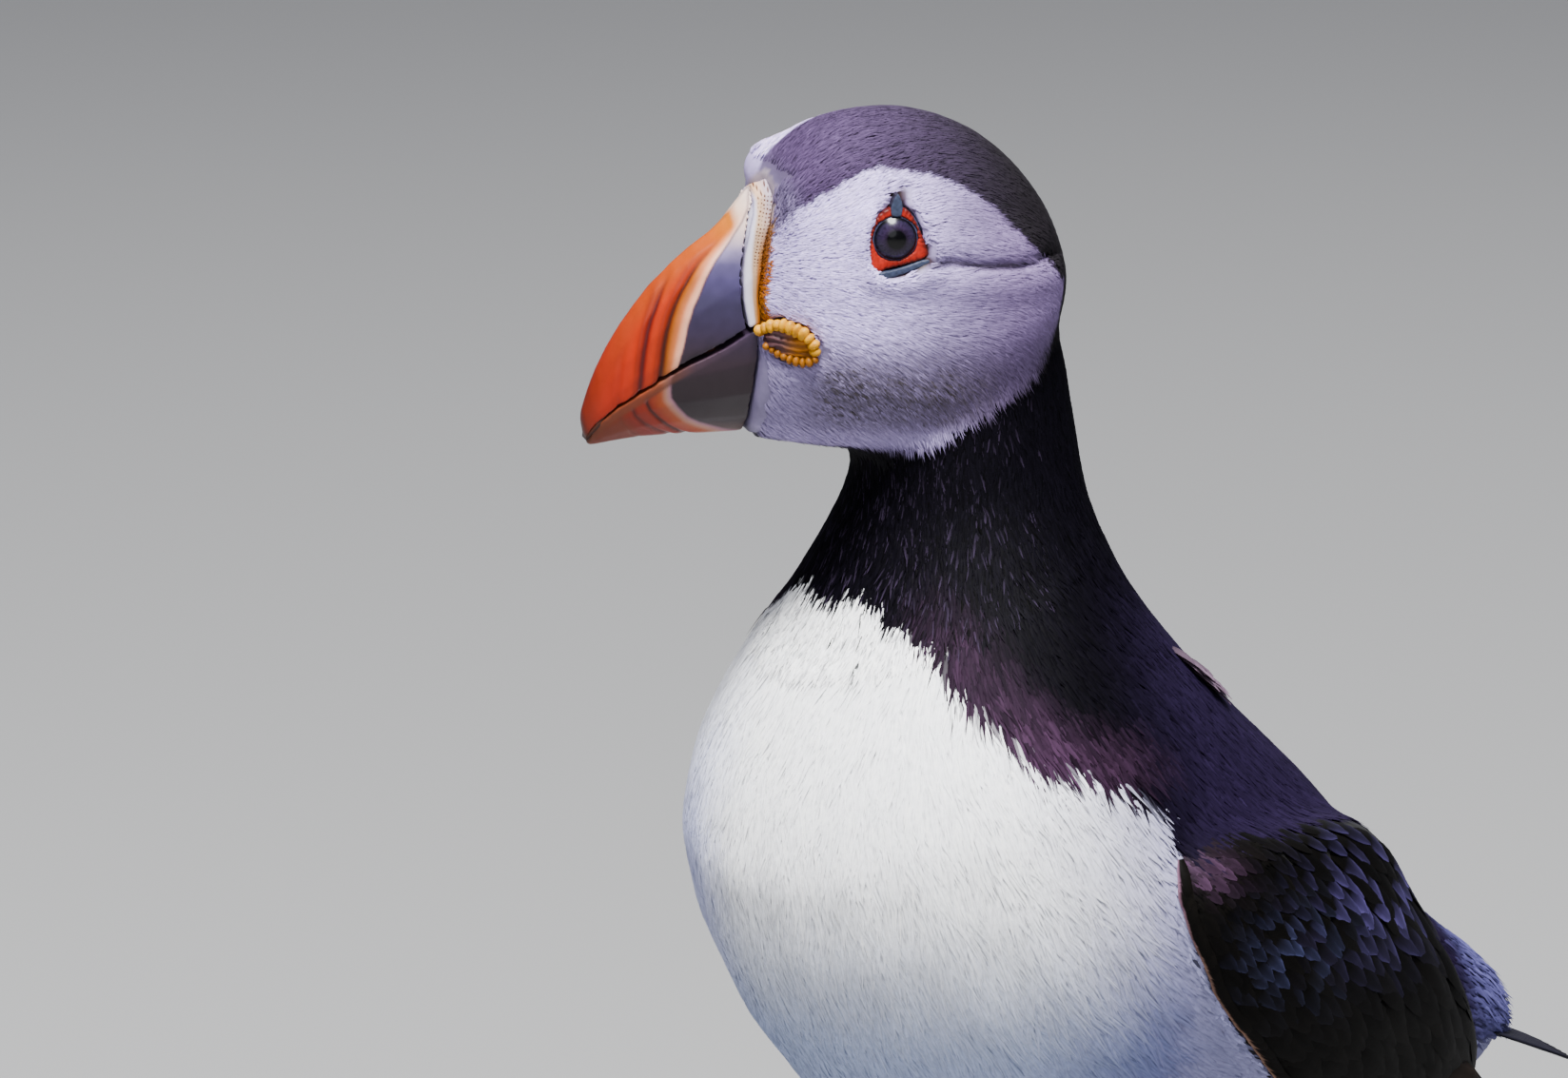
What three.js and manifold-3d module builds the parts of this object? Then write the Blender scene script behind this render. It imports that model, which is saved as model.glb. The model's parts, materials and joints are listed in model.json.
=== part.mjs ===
// Atlantic puffin, life size, standing upright with its neck raised and its head turned a little to its right.
// Millimetres, +Z up. The bird faces -Y, so its left side is +X.
// It stands on Z = 0 with its box centred on the origin.
// The plumage is shaped as the feathers' outer surface. Each named mesh is one piece of the bird.

import * as THREE from "three";
import { mergeVertices } from "three/addons/utils/BufferGeometryUtils.js";
import Module from "manifold-3d";

const wasm = await Module();
wasm.setup();

// ---- driving dimensions ----

const GAP = 0.3; // clearance between neighbouring pieces
// The point midway between the eyes, and how far the head is turned to the right and tilted, in degrees.
const HEAD = { forward: 16.7, height: 202.1, turn: -15, tilt: 8 };
const EYE = { lateral: 12.3, radius: 5.2, opening: 3.6 };
const FOOT = { spread: 21, heel: 19, splay: 12, sole: 3.2 }; // heel is its distance back; splay in degrees
const HEEL = { radius: 4.2, height: 3.4 };
const WEB = { thickness: 1.6, sunk: 1, reach: 0.94, scallop: 0.14 }; // reach and scallop are shares of a toe
const CLAW = { length: 6, height: 2.6, thick: 1.25 };
const WING = { thickness: 6, rear: 4.2, edge: 1.8, sunk: 1.5 };

// Materials of the plain model.
const skinTone = (name, color, roughness, metalness = 0) =>
  new THREE.MeshStandardMaterial({ name, color, roughness, metalness });
const MATERIAL = {
  faceFeather: skinTone("face_feather", 0xc9c4cf, 0.8),
  blackFeather: skinTone("black_feather", 0x17151c, 0.7),
  whiteFeather: skinTone("white_feather", 0xf2f1f4, 0.8),
  wingFeather: skinTone("wing_feather", 0x1d1819, 0.65),
  orangeHorn: skinTone("orange_horn", 0xe2511a, 0.35),
  slateHorn: skinTone("slate_horn", 0x4d4a66, 0.4),
  paleHorn: skinTone("pale_horn", 0xe4dcc0, 0.5),
  yellowSkin: skinTone("yellow_skin", 0xf2b01c, 0.45),
  redRing: skinTone("red_ring", 0xd2331a, 0.4),
  eyeBall: skinTone("eye", 0x17141c, 0.05),
  orangeFoot: skinTone("orange_foot", 0xe05a1c, 0.5),
  blackClaw: skinTone("black_claw", 0x161314, 0.35),
};

// ---- shape helpers ----

const radians = THREE.MathUtils.degToRad;

// A point on the bird's midline, by its distance forward and its height.
const midline = ([forward, height]) => new THREE.Vector3(0, -forward, height);

// A smooth curve through points, read at 0 to 1 so that each point keeps its own share of the length.
const smoothCurve = (points) => new THREE.CatmullRomCurve3(points, false, "catmullrom", 0.5);

function toSolid(geometry) {
  const bare = new THREE.BufferGeometry().setAttribute("position", geometry.getAttribute("position"));
  if (geometry.index) bare.setIndex(geometry.index);
  const merged = mergeVertices(bare, 1e-4);
  return new wasm.Manifold(
    new wasm.Mesh({
      numProp: 3,
      vertProperties: new Float32Array(merged.attributes.position.array),
      triVerts: new Uint32Array(merged.index.array),
    }),
  );
}

function toGeometry(solid) {
  const { numProp, numVert, vertProperties, triVerts } = solid.getMesh();
  const positions = new Float32Array(numVert * 3);
  for (let i = 0; i < numVert; i++) {
    positions.set(vertProperties.subarray(i * numProp, i * numProp + 3), i * 3);
  }
  const geometry = new THREE.BufferGeometry();
  geometry.setAttribute("position", new THREE.BufferAttribute(positions, 3));
  geometry.setIndex(new THREE.BufferAttribute(new Uint32Array(triVerts), 1));
  geometry.computeVertexNormals();
  return geometry;
}

const largestBody = (solid) => solid.decompose().sort((a, b) => b.volume() - a.volume())[0];

// The same solid on the bird's other side.
function mirrored(geometry) {
  return turnedOutwards(geometry.clone().scale(-1, 1, 1));
}

// A shape swelled by the gap, for cutting its neighbour back.
function swelled(geometry) {
  const grown = geometry.clone();
  grown.computeVertexNormals();
  const place = grown.getAttribute("position");
  const out = grown.getAttribute("normal");
  for (let i = 0; i < place.count; i++) {
    place.setXYZ(
      i,
      place.getX(i) + GAP * out.getX(i),
      place.getY(i) + GAP * out.getY(i),
      place.getZ(i) + GAP * out.getZ(i),
    );
  }
  return toSolid(grown);
}

// Closes a stack of rings, each an array of points, into one body with a point at each end.
function closeRings(rings, startPole, endPole) {
  const around = rings[0].length;
  const points = [startPole, ...rings.flat(), endPole];
  const faces = [];
  const at = (ring, k) => 1 + ring * around + (k % around);
  const last = rings.length - 1;
  for (let k = 0; k < around; k++) {
    faces.push(0, at(0, k + 1), at(0, k));
    for (let r = 0; r < last; r++) {
      faces.push(at(r, k), at(r, k + 1), at(r + 1, k + 1), at(r, k), at(r + 1, k + 1), at(r + 1, k));
    }
    faces.push(points.length - 1, at(last, k), at(last, k + 1));
  }
  const geometry = new THREE.BufferGeometry().setFromPoints(points);
  geometry.setIndex(faces);
  return toSolid(geometry).volume() < 0 ? turnedOutwards(geometry) : geometry;
}

// Turns every face over.
function turnedOutwards(geometry) {
  const order = geometry.index.array;
  for (let i = 0; i < order.length; i += 3) [order[i + 1], order[i + 2]] = [order[i + 2], order[i + 1]];
  return geometry;
}

const signedPower = (value, power) => Math.sign(value) * Math.abs(value) ** power;

// A point on an egg-shaped section: `up` and `down` reach from the widest level, `side` is the half-width.
function eggPoint({ centre, up, down, side, roundness, lowerRoundness = roundness }, angle) {
  const power = 2 / (Math.cos(angle) > 0 ? roundness : lowerRoundness);
  const high = signedPower(Math.cos(angle), power);
  const wide = signedPower(Math.sin(angle), power);
  return centre.clone().addScaledVector(high > 0 ? up : down, Math.abs(high)).addScaledVector(side, wide);
}

const eggRing = (section, around) =>
  Array.from({ length: around }, (_, k) => eggPoint(section, (2 * Math.PI * k) / around));

// A body swept between an upper and a lower outline.
// Each station is { top, bottom, half, widest, roundness, lowerRoundness, aside }: outline points on the
// midline, half-width, the widest level's share of the height from the bottom, 2 for an ellipse or more for
// a squarer section above and below that level, and how far it stands to the left of the midline.
class RailBody {
  constructor(stations, { grow = 0 } = {}) {
    this.top = smoothCurve(stations.map((s) => midline(s.top)));
    this.bottom = smoothCurve(stations.map((s) => midline(s.bottom)));
    this.section = smoothCurve(
      stations.map((s) => new THREE.Vector3(s.half, s.widest ?? 0.5, s.roundness ?? 2)),
    );
    this.lower = smoothCurve(
      stations.map((s) => new THREE.Vector3(s.lowerRoundness ?? s.roundness ?? 2, s.aside ?? 0, 0)),
    );
    this.grow = grow;
  }

  sectionAt(t) {
    const { x: lowerRoundness, y: asideBy } = this.lower.getPoint(t);
    const aside = new THREE.Vector3(asideBy, 0, 0);
    const top = this.top.getPoint(t).add(aside);
    const bottom = this.bottom.getPoint(t).add(aside);
    const [half, widest, roundness] = this.section.getPoint(t).toArray();
    const centre = bottom.clone().lerp(top, widest);
    const up = top.sub(centre);
    const down = bottom.sub(centre);
    up.setLength(up.length() + this.grow);
    down.setLength(down.length() + this.grow);
    return { centre, up, down, side: new THREE.Vector3(half + this.grow, 0, 0), roundness, lowerRoundness };
  }

  // A dome of `length` beyond one end, as rings from the rim outwards.
  capRings(t, length, steps, around) {
    const rim = this.sectionAt(t);
    const inner = this.sectionAt(t === 0 ? 0.01 : 0.99);
    const outward = rim.centre.clone().sub(inner.centre).normalize();
    const scaled = (vector, share) => vector.clone().multiplyScalar(share);
    const rings = [];
    for (let i = 1; i < steps; i++) {
      const angle = (Math.PI / 2) * (i / steps);
      const share = Math.cos(angle);
      rings.push(
        eggRing(
          {
            centre: rim.centre.clone().addScaledVector(outward, (length + this.grow) * Math.sin(angle)),
            up: scaled(rim.up, share),
            down: scaled(rim.down, share),
            side: scaled(rim.side, share),
            roundness: rim.roundness,
            lowerRoundness: rim.lowerRoundness,
          },
          around,
        ),
      );
    }
    return { rings, pole: rim.centre.clone().addScaledVector(outward, length + this.grow) };
  }

  geometry({ rings, around, startCap, endCap, capSteps = 3 }) {
    const body = [];
    for (let i = 0; i <= rings; i++) body.push(eggRing(this.sectionAt(i / rings), around));
    const start = this.capRings(0, startCap, capSteps, around);
    const end = this.capRings(1, endCap, capSteps, around);
    return closeRings([...start.rings.reverse(), ...body, ...end.rings], start.pole, end.pole);
  }

  // A point on the surface and its outward direction, by share along the body and angle down from the top.
  surface(t, degrees) {
    return eggPoint(this.sectionAt(t), radians(degrees));
  }

  normal(t, degrees) {
    const step = 0.004;
    const along = this.surface(t + step, degrees).sub(this.surface(t - step, degrees));
    const across = this.surface(t, degrees + 1).sub(this.surface(t, degrees - 1));
    return along.cross(across).normalize();
  }
}

// A solid with a side-view outline of [forward, height] points, reaching `reach` each way sideways.
function sidePrism(outline, reach) {
  const shape = new THREE.Shape(outline.map(([forward, height]) => new THREE.Vector2(forward, height)));
  const prism = new THREE.ExtrudeGeometry(shape, { depth: 2 * reach, bevelEnabled: false, steps: 1 });
  prism.translate(0, 0, -reach);
  // The shape's axes (forward, height, sideways) become the bird's -Y, +Z and -X.
  const turn = new THREE.Matrix4().makeBasis(
    new THREE.Vector3(0, -1, 0),
    new THREE.Vector3(0, 0, 1),
    new THREE.Vector3(-1, 0, 0),
  );
  return toSolid(prism.applyMatrix4(turn));
}

// A tapering limb along a path: each station is [point, half-width, half-thickness].
// `flatUp` is roughly the direction of the thickness.
function limb(stations, { around, rings, flatUp = new THREE.Vector3(0, 0, 1) }) {
  const path = smoothCurve(stations.map(([point]) => new THREE.Vector3(...point)));
  const size = smoothCurve(stations.map(([, half, thick]) => new THREE.Vector3(half, thick, 0)));
  const ringAt = (t, share, shift) => {
    const tangent = path.getTangent(t);
    const side = new THREE.Vector3().crossVectors(tangent, flatUp).normalize();
    const up = new THREE.Vector3().crossVectors(side, tangent).normalize();
    const { x: half, y: thick } = size.getPoint(t);
    const centre = path.getPoint(t).addScaledVector(tangent, shift);
    up.multiplyScalar(thick * share);
    side.multiplyScalar(half * share);
    return eggRing({ centre, up, down: up.clone().negate(), side, roundness: 2 }, around);
  };
  const endShift = (t) => size.getPoint(t).y * (t === 0 ? -1 : 1);
  const bevel = 0.7; // each end closes in over a smaller ring to a point
  const body = [ringAt(0, bevel, bevel * endShift(0))];
  for (let i = 0; i <= rings; i++) body.push(ringAt(i / rings, 1, 0));
  body.push(ringAt(1, bevel, bevel * endShift(1)));
  const pole = (t) => path.getPoint(t).addScaledVector(path.getTangent(t), endShift(t));
  return closeRings(body, pole(0), pole(1));
}

// ---- trunk and neck ----

// From the root of the tail, over the belly and breast, up the neck and into the head.
const BODY_STATIONS = [
  { top: [-107.5, 57], bottom: [-100, 44], half: 8 },
  { top: [-100.5, 65.8], bottom: [-84, 37.5], half: 18.5 },
  { top: [-87, 78], bottom: [-60, 33.5], half: 29.5 },
  { top: [-73.5, 91], bottom: [-28, 33], half: 39.5 },
  { top: [-61, 105], bottom: [7, 41], half: 46.5 },
  { top: [-47, 118], bottom: [32.5, 66], half: 48.5 },
  { top: [-35.5, 130], bottom: [44, 96], half: 45.5 },
  { top: [-27, 141.5], bottom: [37.5, 119], half: 36.5 },
  { top: [-22.5, 152.5], bottom: [26.5, 137], half: 27 },
  { top: [-20.4, 166], bottom: [20, 152], half: 20, aside: 1 },
  { top: [-16, 183], bottom: [17, 171], half: 15.5, aside: 3 },
];
const BODY_MESH = { rings: 20, around: 22, startCap: 3, endCap: 6 };
const trunkShape = (grow = 0) => new RailBody(BODY_STATIONS, { grow });
const trunk = toSolid(trunkShape().geometry(BODY_MESH));
const trunkWithGap = toSolid(trunkShape(GAP).geometry(BODY_MESH));

// ---- head, in its own frame: forward and height from the point midway between the eyes ----

const headPlace = new THREE.Matrix4()
  .makeTranslation(midline([HEAD.forward, HEAD.height]))
  .multiply(new THREE.Matrix4().makeRotationZ(radians(HEAD.turn)))
  .multiply(new THREE.Matrix4().makeRotationY(radians(HEAD.tilt)));

const HEAD_STATIONS = [
  { top: [-32.4, -6.5], bottom: [-31.6, -21], half: 7.4 },
  { top: [-30, -0.5], bottom: [-28.5, -27], half: 12.6, lowerRoundness: 2.1 },
  { top: [-25.2, 6.2], bottom: [-23, -34.5], half: 17, roundness: 2.1, lowerRoundness: 2.3 },
  { top: [-18, 12.6], bottom: [-16, -38.8], half: 19.4, widest: 0.42, roundness: 2.1, lowerRoundness: 2.45 },
  { top: [-8, 16.9], bottom: [-7, -39.8], half: 20, widest: 0.38, roundness: 2.1, lowerRoundness: 2.45 },
  { top: [2, 17.6], bottom: [3, -39.2], half: 19, widest: 0.38, lowerRoundness: 2.25 },
  { top: [10.5, 15.4], bottom: [11, -38], half: 17.1, widest: 0.4, roundness: 2.2, lowerRoundness: 2.2 },
  { top: [15.8, 10.8], bottom: [17, -37], half: 14.5, widest: 0.42, roundness: 2.3, lowerRoundness: 2.2 },
  { top: [18.6, 7], bottom: [20.5, -36.8], half: 11, widest: 0.42, roundness: 2.15 },
  { top: [22, 4.6], bottom: [24.5, -36.8], half: 8.9, widest: 0.42 },
];
const HEAD_MESH = { rings: 15, around: 20, startCap: 1.6, endCap: 1.2, capSteps: 2 };
const headShape = (grow = 0) => new RailBody(HEAD_STATIONS, { grow });
const headWithGap = toSolid(headShape(GAP).geometry(HEAD_MESH));

// ---- bill, in the head's frame ----

const BILL_STATIONS = [
  { top: [15, 6.6], bottom: [15, -36.2], half: 9.4, widest: 0.42 },
  { top: [20.1, 5.7], bottom: [20.5, -36.4], half: 8.9, widest: 0.42, roundness: 1.9 },
  { top: [25.9, 0], bottom: [26.5, -36.4], half: 7.7, widest: 0.42, roundness: 1.8 },
  { top: [32.2, -4.8], bottom: [32.5, -36.3], half: 6.4, widest: 0.42, roundness: 1.75 },
  { top: [37.9, -10.9], bottom: [37.5, -36.4], half: 5, widest: 0.42, roundness: 1.75 },
  { top: [42.2, -17.5], bottom: [41, -36.7], half: 3.7, widest: 0.44, roundness: 1.8 },
  { top: [45.3, -24.5], bottom: [43.5, -37], half: 2.6, widest: 0.46, roundness: 1.9 },
  { top: [47.2, -31], bottom: [45.6, -37.2], half: 1.5 },
];
const BILL_MESH = { rings: 13, around: 18, startCap: 1, endCap: 0.8, capSteps: 2 };
const billWith = (grow) => toSolid(new RailBody(BILL_STATIONS, { grow }).geometry(BILL_MESH));

// Lines over the side of the head, [forward, height], that part the pieces of the bill.
const MOUTH_LINE = [
  [46.8, -44], [46.4, -37], [45.6, -33.9], [44.2, -32], [41.1, -29.1], [38.8, -27.5],
  [35.1, -24.6], [32.1, -22.4], [29.1, -20.7], [26.1, -19.1], [22.3, -16.1], [14, -14],
];
const LOWER_LINE = [
  [46.8, -44], [46.4, -37], [45.6, -33.9], [44.2, -32], [41.1, -29.1], [38.8, -27.5],
  [35.1, -24.7], [32.1, -22.7], [29.1, -21.1], [26.1, -19.6], [22.3, -16.7], [14, -14.7],
];
const FEATHER_EDGE = [
  [24, 30], [20, 12], [17.3, 6.8], [17.2, 4], [17.7, 2.2], [18.6, -0.7], [19.5, -3.7],
  [20.1, -7.6], [20.4, -10.9], [20.1, -14], [20.2, -20], [20.5, -28], [20, -42],
];
const CERE_FRONT = [
  [19, 12], [20.1, 5.7], [20.4, 4.2], [21.2, 1.9], [22, -1], [22.7, -4.8], [23.1, -8.6], [22.8, -12.7],
  [22.1, -16], [21, -22],
];
const PLATE_FRONT = [
  [12, 9], [18, 5], [21.4, 2], [23.5, 0.2], [25.3, -1.8], [27.6, -4.5], [29.4, -7.6], [31, -11.1],
  [31.9, -14.5], [32.5, -18.7], [33.2, -22.6], [34.5, -29],
];
const LOWER_FRONT = [[38, -16], [35, -23], [33.3, -27.6], [31, -31.2], [27, -33.3], [22, -34.2], [12, -34.6]];

const LINE_STEPS = 12; // straight steps along each of those lines

// The region of the side view on one side of a line, set back by half a gap from it.
function beside(line, sign, far) {
  const curve = smoothCurve(line.map(([forward, height]) => new THREE.Vector3(forward, height, 0)));
  const edge = curve.getPoints(LINE_STEPS).map((point, i) => {
    const direction = curve.getTangent(i / LINE_STEPS);
    return [point.x - (direction.y * sign * GAP) / 2, point.y + (direction.x * sign * GAP) / 2];
  });
  return sidePrism([...edge, ...far], 30);
}
const FAR = 80;
const aboveMouth = beside(MOUTH_LINE, -1, [[14, FAR], [FAR, FAR], [FAR, -44]]);
const belowMouth = beside(LOWER_LINE, 1, [[14, -FAR], [46.8, -FAR]]);
const behindEdge = beside(FEATHER_EDGE, -1, [[20, -FAR], [-FAR, -FAR], [-FAR, FAR], [24, FAR]]);
const frontOfEdge = beside(FEATHER_EDGE, 1, [[20, -FAR], [FAR, -FAR], [FAR, FAR], [24, FAR]]);
const behindCere = beside(CERE_FRONT, -1, [[-FAR, -22], [-FAR, 12]]);
const frontOfCere = beside(CERE_FRONT, 1, [[21, -FAR], [FAR, -FAR], [FAR, FAR], [19, FAR]]);
const behindPlate = beside(PLATE_FRONT, -1, [[12, -29]]);
const frontOfPlate = beside(PLATE_FRONT, 1, [[34.5, -FAR], [FAR, -FAR], [FAR, FAR], [12, FAR]]);
const aboveLower = beside(LOWER_FRONT, -1, [[12, -16]]);
const belowLower = beside(LOWER_FRONT, 1, [[12, -60], [60, -60], [60, -16]]);

const bill = billWith(0).intersect(frontOfEdge);
const billUpper = bill.intersect(aboveMouth);
const billLower = bill.intersect(belowMouth);

// ---- rosette: the wrinkled yellow skin at each corner of the mouth ----

const ROSETTE = { forward: 15.4, height: -17, half: [2.6, 6, 3.8], lateral: 12.1, slope: -10, toe: -30 };

function rosette(grow = 0) {
  const dome = new THREE.SphereGeometry(1, 12, 7);
  dome.deleteAttribute("uv");
  dome.deleteAttribute("normal");
  const [thick, long, high] = ROSETTE.half;
  dome.scale(thick + grow, long + grow, high + grow);
  dome.rotateX(radians(ROSETTE.slope));
  dome.rotateZ(radians(ROSETTE.toe));
  dome.translate(ROSETTE.lateral, -ROSETTE.forward, ROSETTE.height);
  return toSolid(dome);
}

// ---- eye, its red ring and the two horny plates ----

// The eye looks outwards and a little forwards and up.
const eyeFrame = new THREE.Matrix4()
  .makeRotationZ(radians(-9))
  .multiply(new THREE.Matrix4().makeRotationY(radians(-8)))
  .setPosition(EYE.lateral, 0, 0);
const RING = { level: 3.9, thick: 2.6 }; // level is its outer face, out from the eye's centre
const PLATE_RISE = 0.3; // the horny plates stand this far above the ring
const BED_RISE = 4; // the bed is open to beyond the head's surface

// A flat plate on the eye's own plane: outline in (backward, up) millimetres from the pupil.
const ontoEye = new THREE.Matrix4()
  .makeBasis(new THREE.Vector3(0, 1, 0), new THREE.Vector3(0, 0, 1), new THREE.Vector3(1, 0, 0))
  .premultiply(eyeFrame);

function eyePlate(outline, level, thick) {
  const shape = new THREE.Shape(outline.map(([back, up]) => new THREE.Vector2(back, up)));
  const plate = new THREE.ExtrudeGeometry(shape, { depth: thick, bevelEnabled: false, steps: 1 });
  return toSolid(plate.translate(0, 0, level - thick).applyMatrix4(ontoEye));
}

function eyeOpening(radius) {
  const drum = new THREE.CylinderGeometry(radius, radius, 30, 14).rotateX(Math.PI / 2);
  return toSolid(drum.applyMatrix4(ontoEye));
}

// A closed outline pushed outwards from its middle.
function grownOutline(outline, by) {
  const centre = outline.reduce(([a, b], [x, y]) => [a + x / outline.length, b + y / outline.length], [0, 0]);
  return outline.map(([x, y]) => {
    const away = new THREE.Vector2(x - centre[0], y - centre[1]);
    away.setLength(away.length() + by);
    return [centre[0] + away.x, centre[1] + away.y];
  });
}

const smoothOutline = (points, count) =>
  new THREE.CatmullRomCurve3(points.map(([x, y]) => new THREE.Vector3(x, y, 0)), true, "catmullrom", 0.4)
    .getPoints(count)
    .slice(0, count)
    .map((p) => [p.x, p.y]);

const RING_OUTLINE = smoothOutline(
  [
    [-0.9, 4.9], [1.2, 4.9], [2.6, 3.8], [4.3, 0.4], [5.4, -3],
    [1, -4.4], [-3.9, -5.3], [-4.3, -2.4], [-4.1, 1], [-2.7, 3.8],
  ],
  18,
);
const UPPER_PLATE = smoothOutline(
  [[-0.9, 5.2], [1, 5.1], [1.35, 7], [0.8, 8.8], [0.2, 9.6], [-0.6, 8.4], [-1.1, 6.8]],
  14,
);
const LOWER_PLATE = smoothOutline(
  [[-3.7, -5.65], [1, -4.8], [5.3, -3.35], [5.4, -4.3], [1, -6], [-3.4, -6.9]],
  14,
);

// ---- wings ----

// The folded wing lies on the flank as a shell that is thickest in the middle and thin at its edge.
// Its outline runs over the trunk: [share along it from tail to head, degrees down from the back].
const WING_OUTLINE = [
  [0.515, 74], [0.51, 81], [0.488, 86.5], [0.435, 92.5], [0.34, 103], [0.25, 114], [0.17, 121], [0.115, 118],
  [0.105, 104], [0.125, 87], [0.16, 70], [0.2, 55], [0.25, 43], [0.31, 35], [0.37, 34], [0.43, 46], [0.485, 61],
];
const WING_CENTRE = [0.3, 76];

function wingShell() {
  const shape = trunkShape();
  const outline = new THREE.CatmullRomCurve3(
    WING_OUTLINE.map(([t, angle]) => new THREE.Vector3(t, angle / 100, 0)),
    true,
    "catmullrom",
    0.5,
  );
  const around = 26;
  const steps = 3;
  const at = (share, k, side) => {
    const rim = outline.getPoint(k / around);
    const [centreT, centreAngle] = WING_CENTRE;
    const t = THREE.MathUtils.lerp(centreT, rim.x, share);
    const angle = THREE.MathUtils.lerp(centreAngle, rim.y * 100, share);
    const clampedT = THREE.MathUtils.clamp(t, 0.005, 0.995);
    const height = side > 0 ? heightAt(share, t) : -WING.sunk;
    return shape.surface(clampedT, angle).addScaledVector(shape.normal(clampedT, angle), height);
  };
  // The shell thins from the wrist towards the tail, and from its middle to its rim.
  const heightAt = (share, t) => {
    const middle = THREE.MathUtils.mapLinear(t, 0.1, 0.5, WING.rear, WING.thickness);
    return WING.edge + (middle - WING.edge) * Math.sqrt(1 - share ** 4);
  };
  const outer = [];
  const inner = [];
  for (let i = 1; i <= steps; i++) {
    const share = Math.sin((Math.PI / 2) * (i / steps));
    outer.push(Array.from({ length: around }, (_, k) => at(share, k, 1)));
    inner.push(Array.from({ length: around }, (_, k) => at(share, k, -1)));
  }
  return closeRings([...outer, ...inner.reverse()], at(0, 0, 1), at(0, 0, -1));
}

// The long flight feathers, folded together, reach back past the rump beside the tail.
const PRIMARIES = [
  [[35, 58, 58], 8, 1.6],
  [[30.5, 76, 50], 8.5, 2],
  [[25, 91, 42.5], 7, 1.9],
  [[19.5, 104, 36.5], 4.6, 1.5],
  [[14.5, 117, 31.5], 1.4, 0.7],
];

// The tail is a short, stiff paddle that widens to its tip.
const TAIL = [
  [[0, 88, 58], 8, 5],
  [[0, 100, 53.5], 12.5, 3.6],
  [[0, 111, 49.5], 15.5, 2],
  [[0, 119, 46.5], 13.5, 0.9],
];

// ---- legs and feet ----

const legX = FOOT.spread;

function thigh() {
  return limb(
    [
      [[legX - 3, 6, 58], 12, 15],
      [[legX - 1.5, 11, 45], 10.5, 13],
      [[legX - 0.5, 17, 34], 7.5, 8.5],
      [[legX, 20.5, 27.5], 4.2, 4.8],
    ],
    { around: 14, rings: 6, flatUp: new THREE.Vector3(0, 1, 0) },
  );
}

function shank() {
  return limb(
    [
      [[legX, 21, 31], 2.6, 3.4],
      [[legX, 22, 24], 2.4, 3.2],
      [[legX, 20, 14], 2.2, 3],
      [[legX + 0.3, 17.5, 5.6], 2.8, 3.4],
    ],
    { around: 10, rings: 6, flatUp: new THREE.Vector3(0, 1, 0) },
  );
}

// Three toes and the web between them: lengths and directions from the heel, outer toe last.
const TOES = [
  { name: "inner", length: 28, turn: -24, width: 2.1 },
  { name: "middle", length: 36, turn: 2, width: 2.3 },
  { name: "outer", length: 34, turn: 27, width: 2.1 },
];
const heel = new THREE.Vector3(legX, FOOT.heel, 0);
const toeDirection = (turn) =>
  new THREE.Vector3(Math.sin(radians(turn + FOOT.splay)), -Math.cos(radians(turn + FOOT.splay)), 0);
const alongToe = (toe, share, height) =>
  heel.clone().addScaledVector(toeDirection(toe.turn), toe.length * share).setZ(height);

function foot() {
  const pad = new THREE.SphereGeometry(HEEL.radius, 10, 7).scale(1, 1.15, 1);
  let whole = toSolid(pad.translate(heel.x, heel.y - 1, HEEL.height));
  for (const toe of TOES) {
    const stations = [0, 0.35, 0.7, 1].map((share) => {
      const thick = FOOT.sole * (1 - 0.35 * share);
      return [alongToe(toe, share, 2.5 - 0.9 * share).toArray(), toe.width * (1 - 0.25 * share), thick];
    });
    whole = whole.add(toSolid(limb(stations, { around: 8, rings: 3 })));
  }
  // The web hangs between the toes in shallow scallops.
  const tip = (toe) => alongToe(toe, WEB.reach, 0);
  const scallop = (a, b) => tip(a).lerp(tip(b), 0.5).lerp(heel, WEB.scallop);
  const [inner, middle, outer] = TOES;
  const rim = [tip(inner), scallop(inner, middle), tip(middle), scallop(middle, outer), tip(outer)];
  const rimCurve = new THREE.CatmullRomCurve3(rim, false, "catmullrom", 0.6).getPoints(12);
  const shape = new THREE.Shape([heel, ...rimCurve].map((p) => new THREE.Vector2(p.x, p.y)));
  const web = new THREE.ExtrudeGeometry(shape, {
    depth: WEB.sunk + WEB.thickness,
    bevelEnabled: false,
    steps: 1,
  });
  whole = whole.add(toSolid(web.translate(0, 0, -WEB.sunk)));
  // Everything under the floor level is cut away, which leaves the flat sole.
  const below = toSolid(new THREE.BoxGeometry(200, 300, 40).translate(0, 0, -20));
  return whole.subtract(below);
}

function claw(toe) {
  const out = toeDirection(toe.turn);
  const start = alongToe(toe, 1, 0);
  // Along the claw: share of its length, then its height and thickness as shares of those at its base.
  const arch = [[-0.35, 1, 1], [0.3, 1.15, 0.95], [0.72, 0.85, 0.65], [1, 0.35, 0.27]];
  const stations = arch.map(([along, high, size]) => {
    const point = start.clone().addScaledVector(out, along * CLAW.length).setZ(high * CLAW.height);
    return [point.toArray(), size * CLAW.thick, size * CLAW.thick];
  });
  return limb(stations, { around: 6, rings: 3 });
}

// ---- assembly ----

const bird = new THREE.Group();
function addPiece(name, solid, material) {
  const mesh = new THREE.Mesh(toGeometry(largestBody(solid).simplify(0.05)), material);
  mesh.name = name;
  bird.add(mesh);
}

// Parts one solid at a plane: the part on the nose side of it and the part behind, a gap apart.
function partAt(solid, [forward, height], [noseForward, noseHeight]) {
  const normal = midline([noseForward, noseHeight]).normalize();
  const offset = midline([forward, height]).dot(normal);
  const above = solid.trimByPlane(normal.toArray(), offset + GAP / 2);
  const below = solid.trimByPlane(normal.clone().negate().toArray(), -(offset - GAP / 2));
  return [above, below];
}

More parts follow.
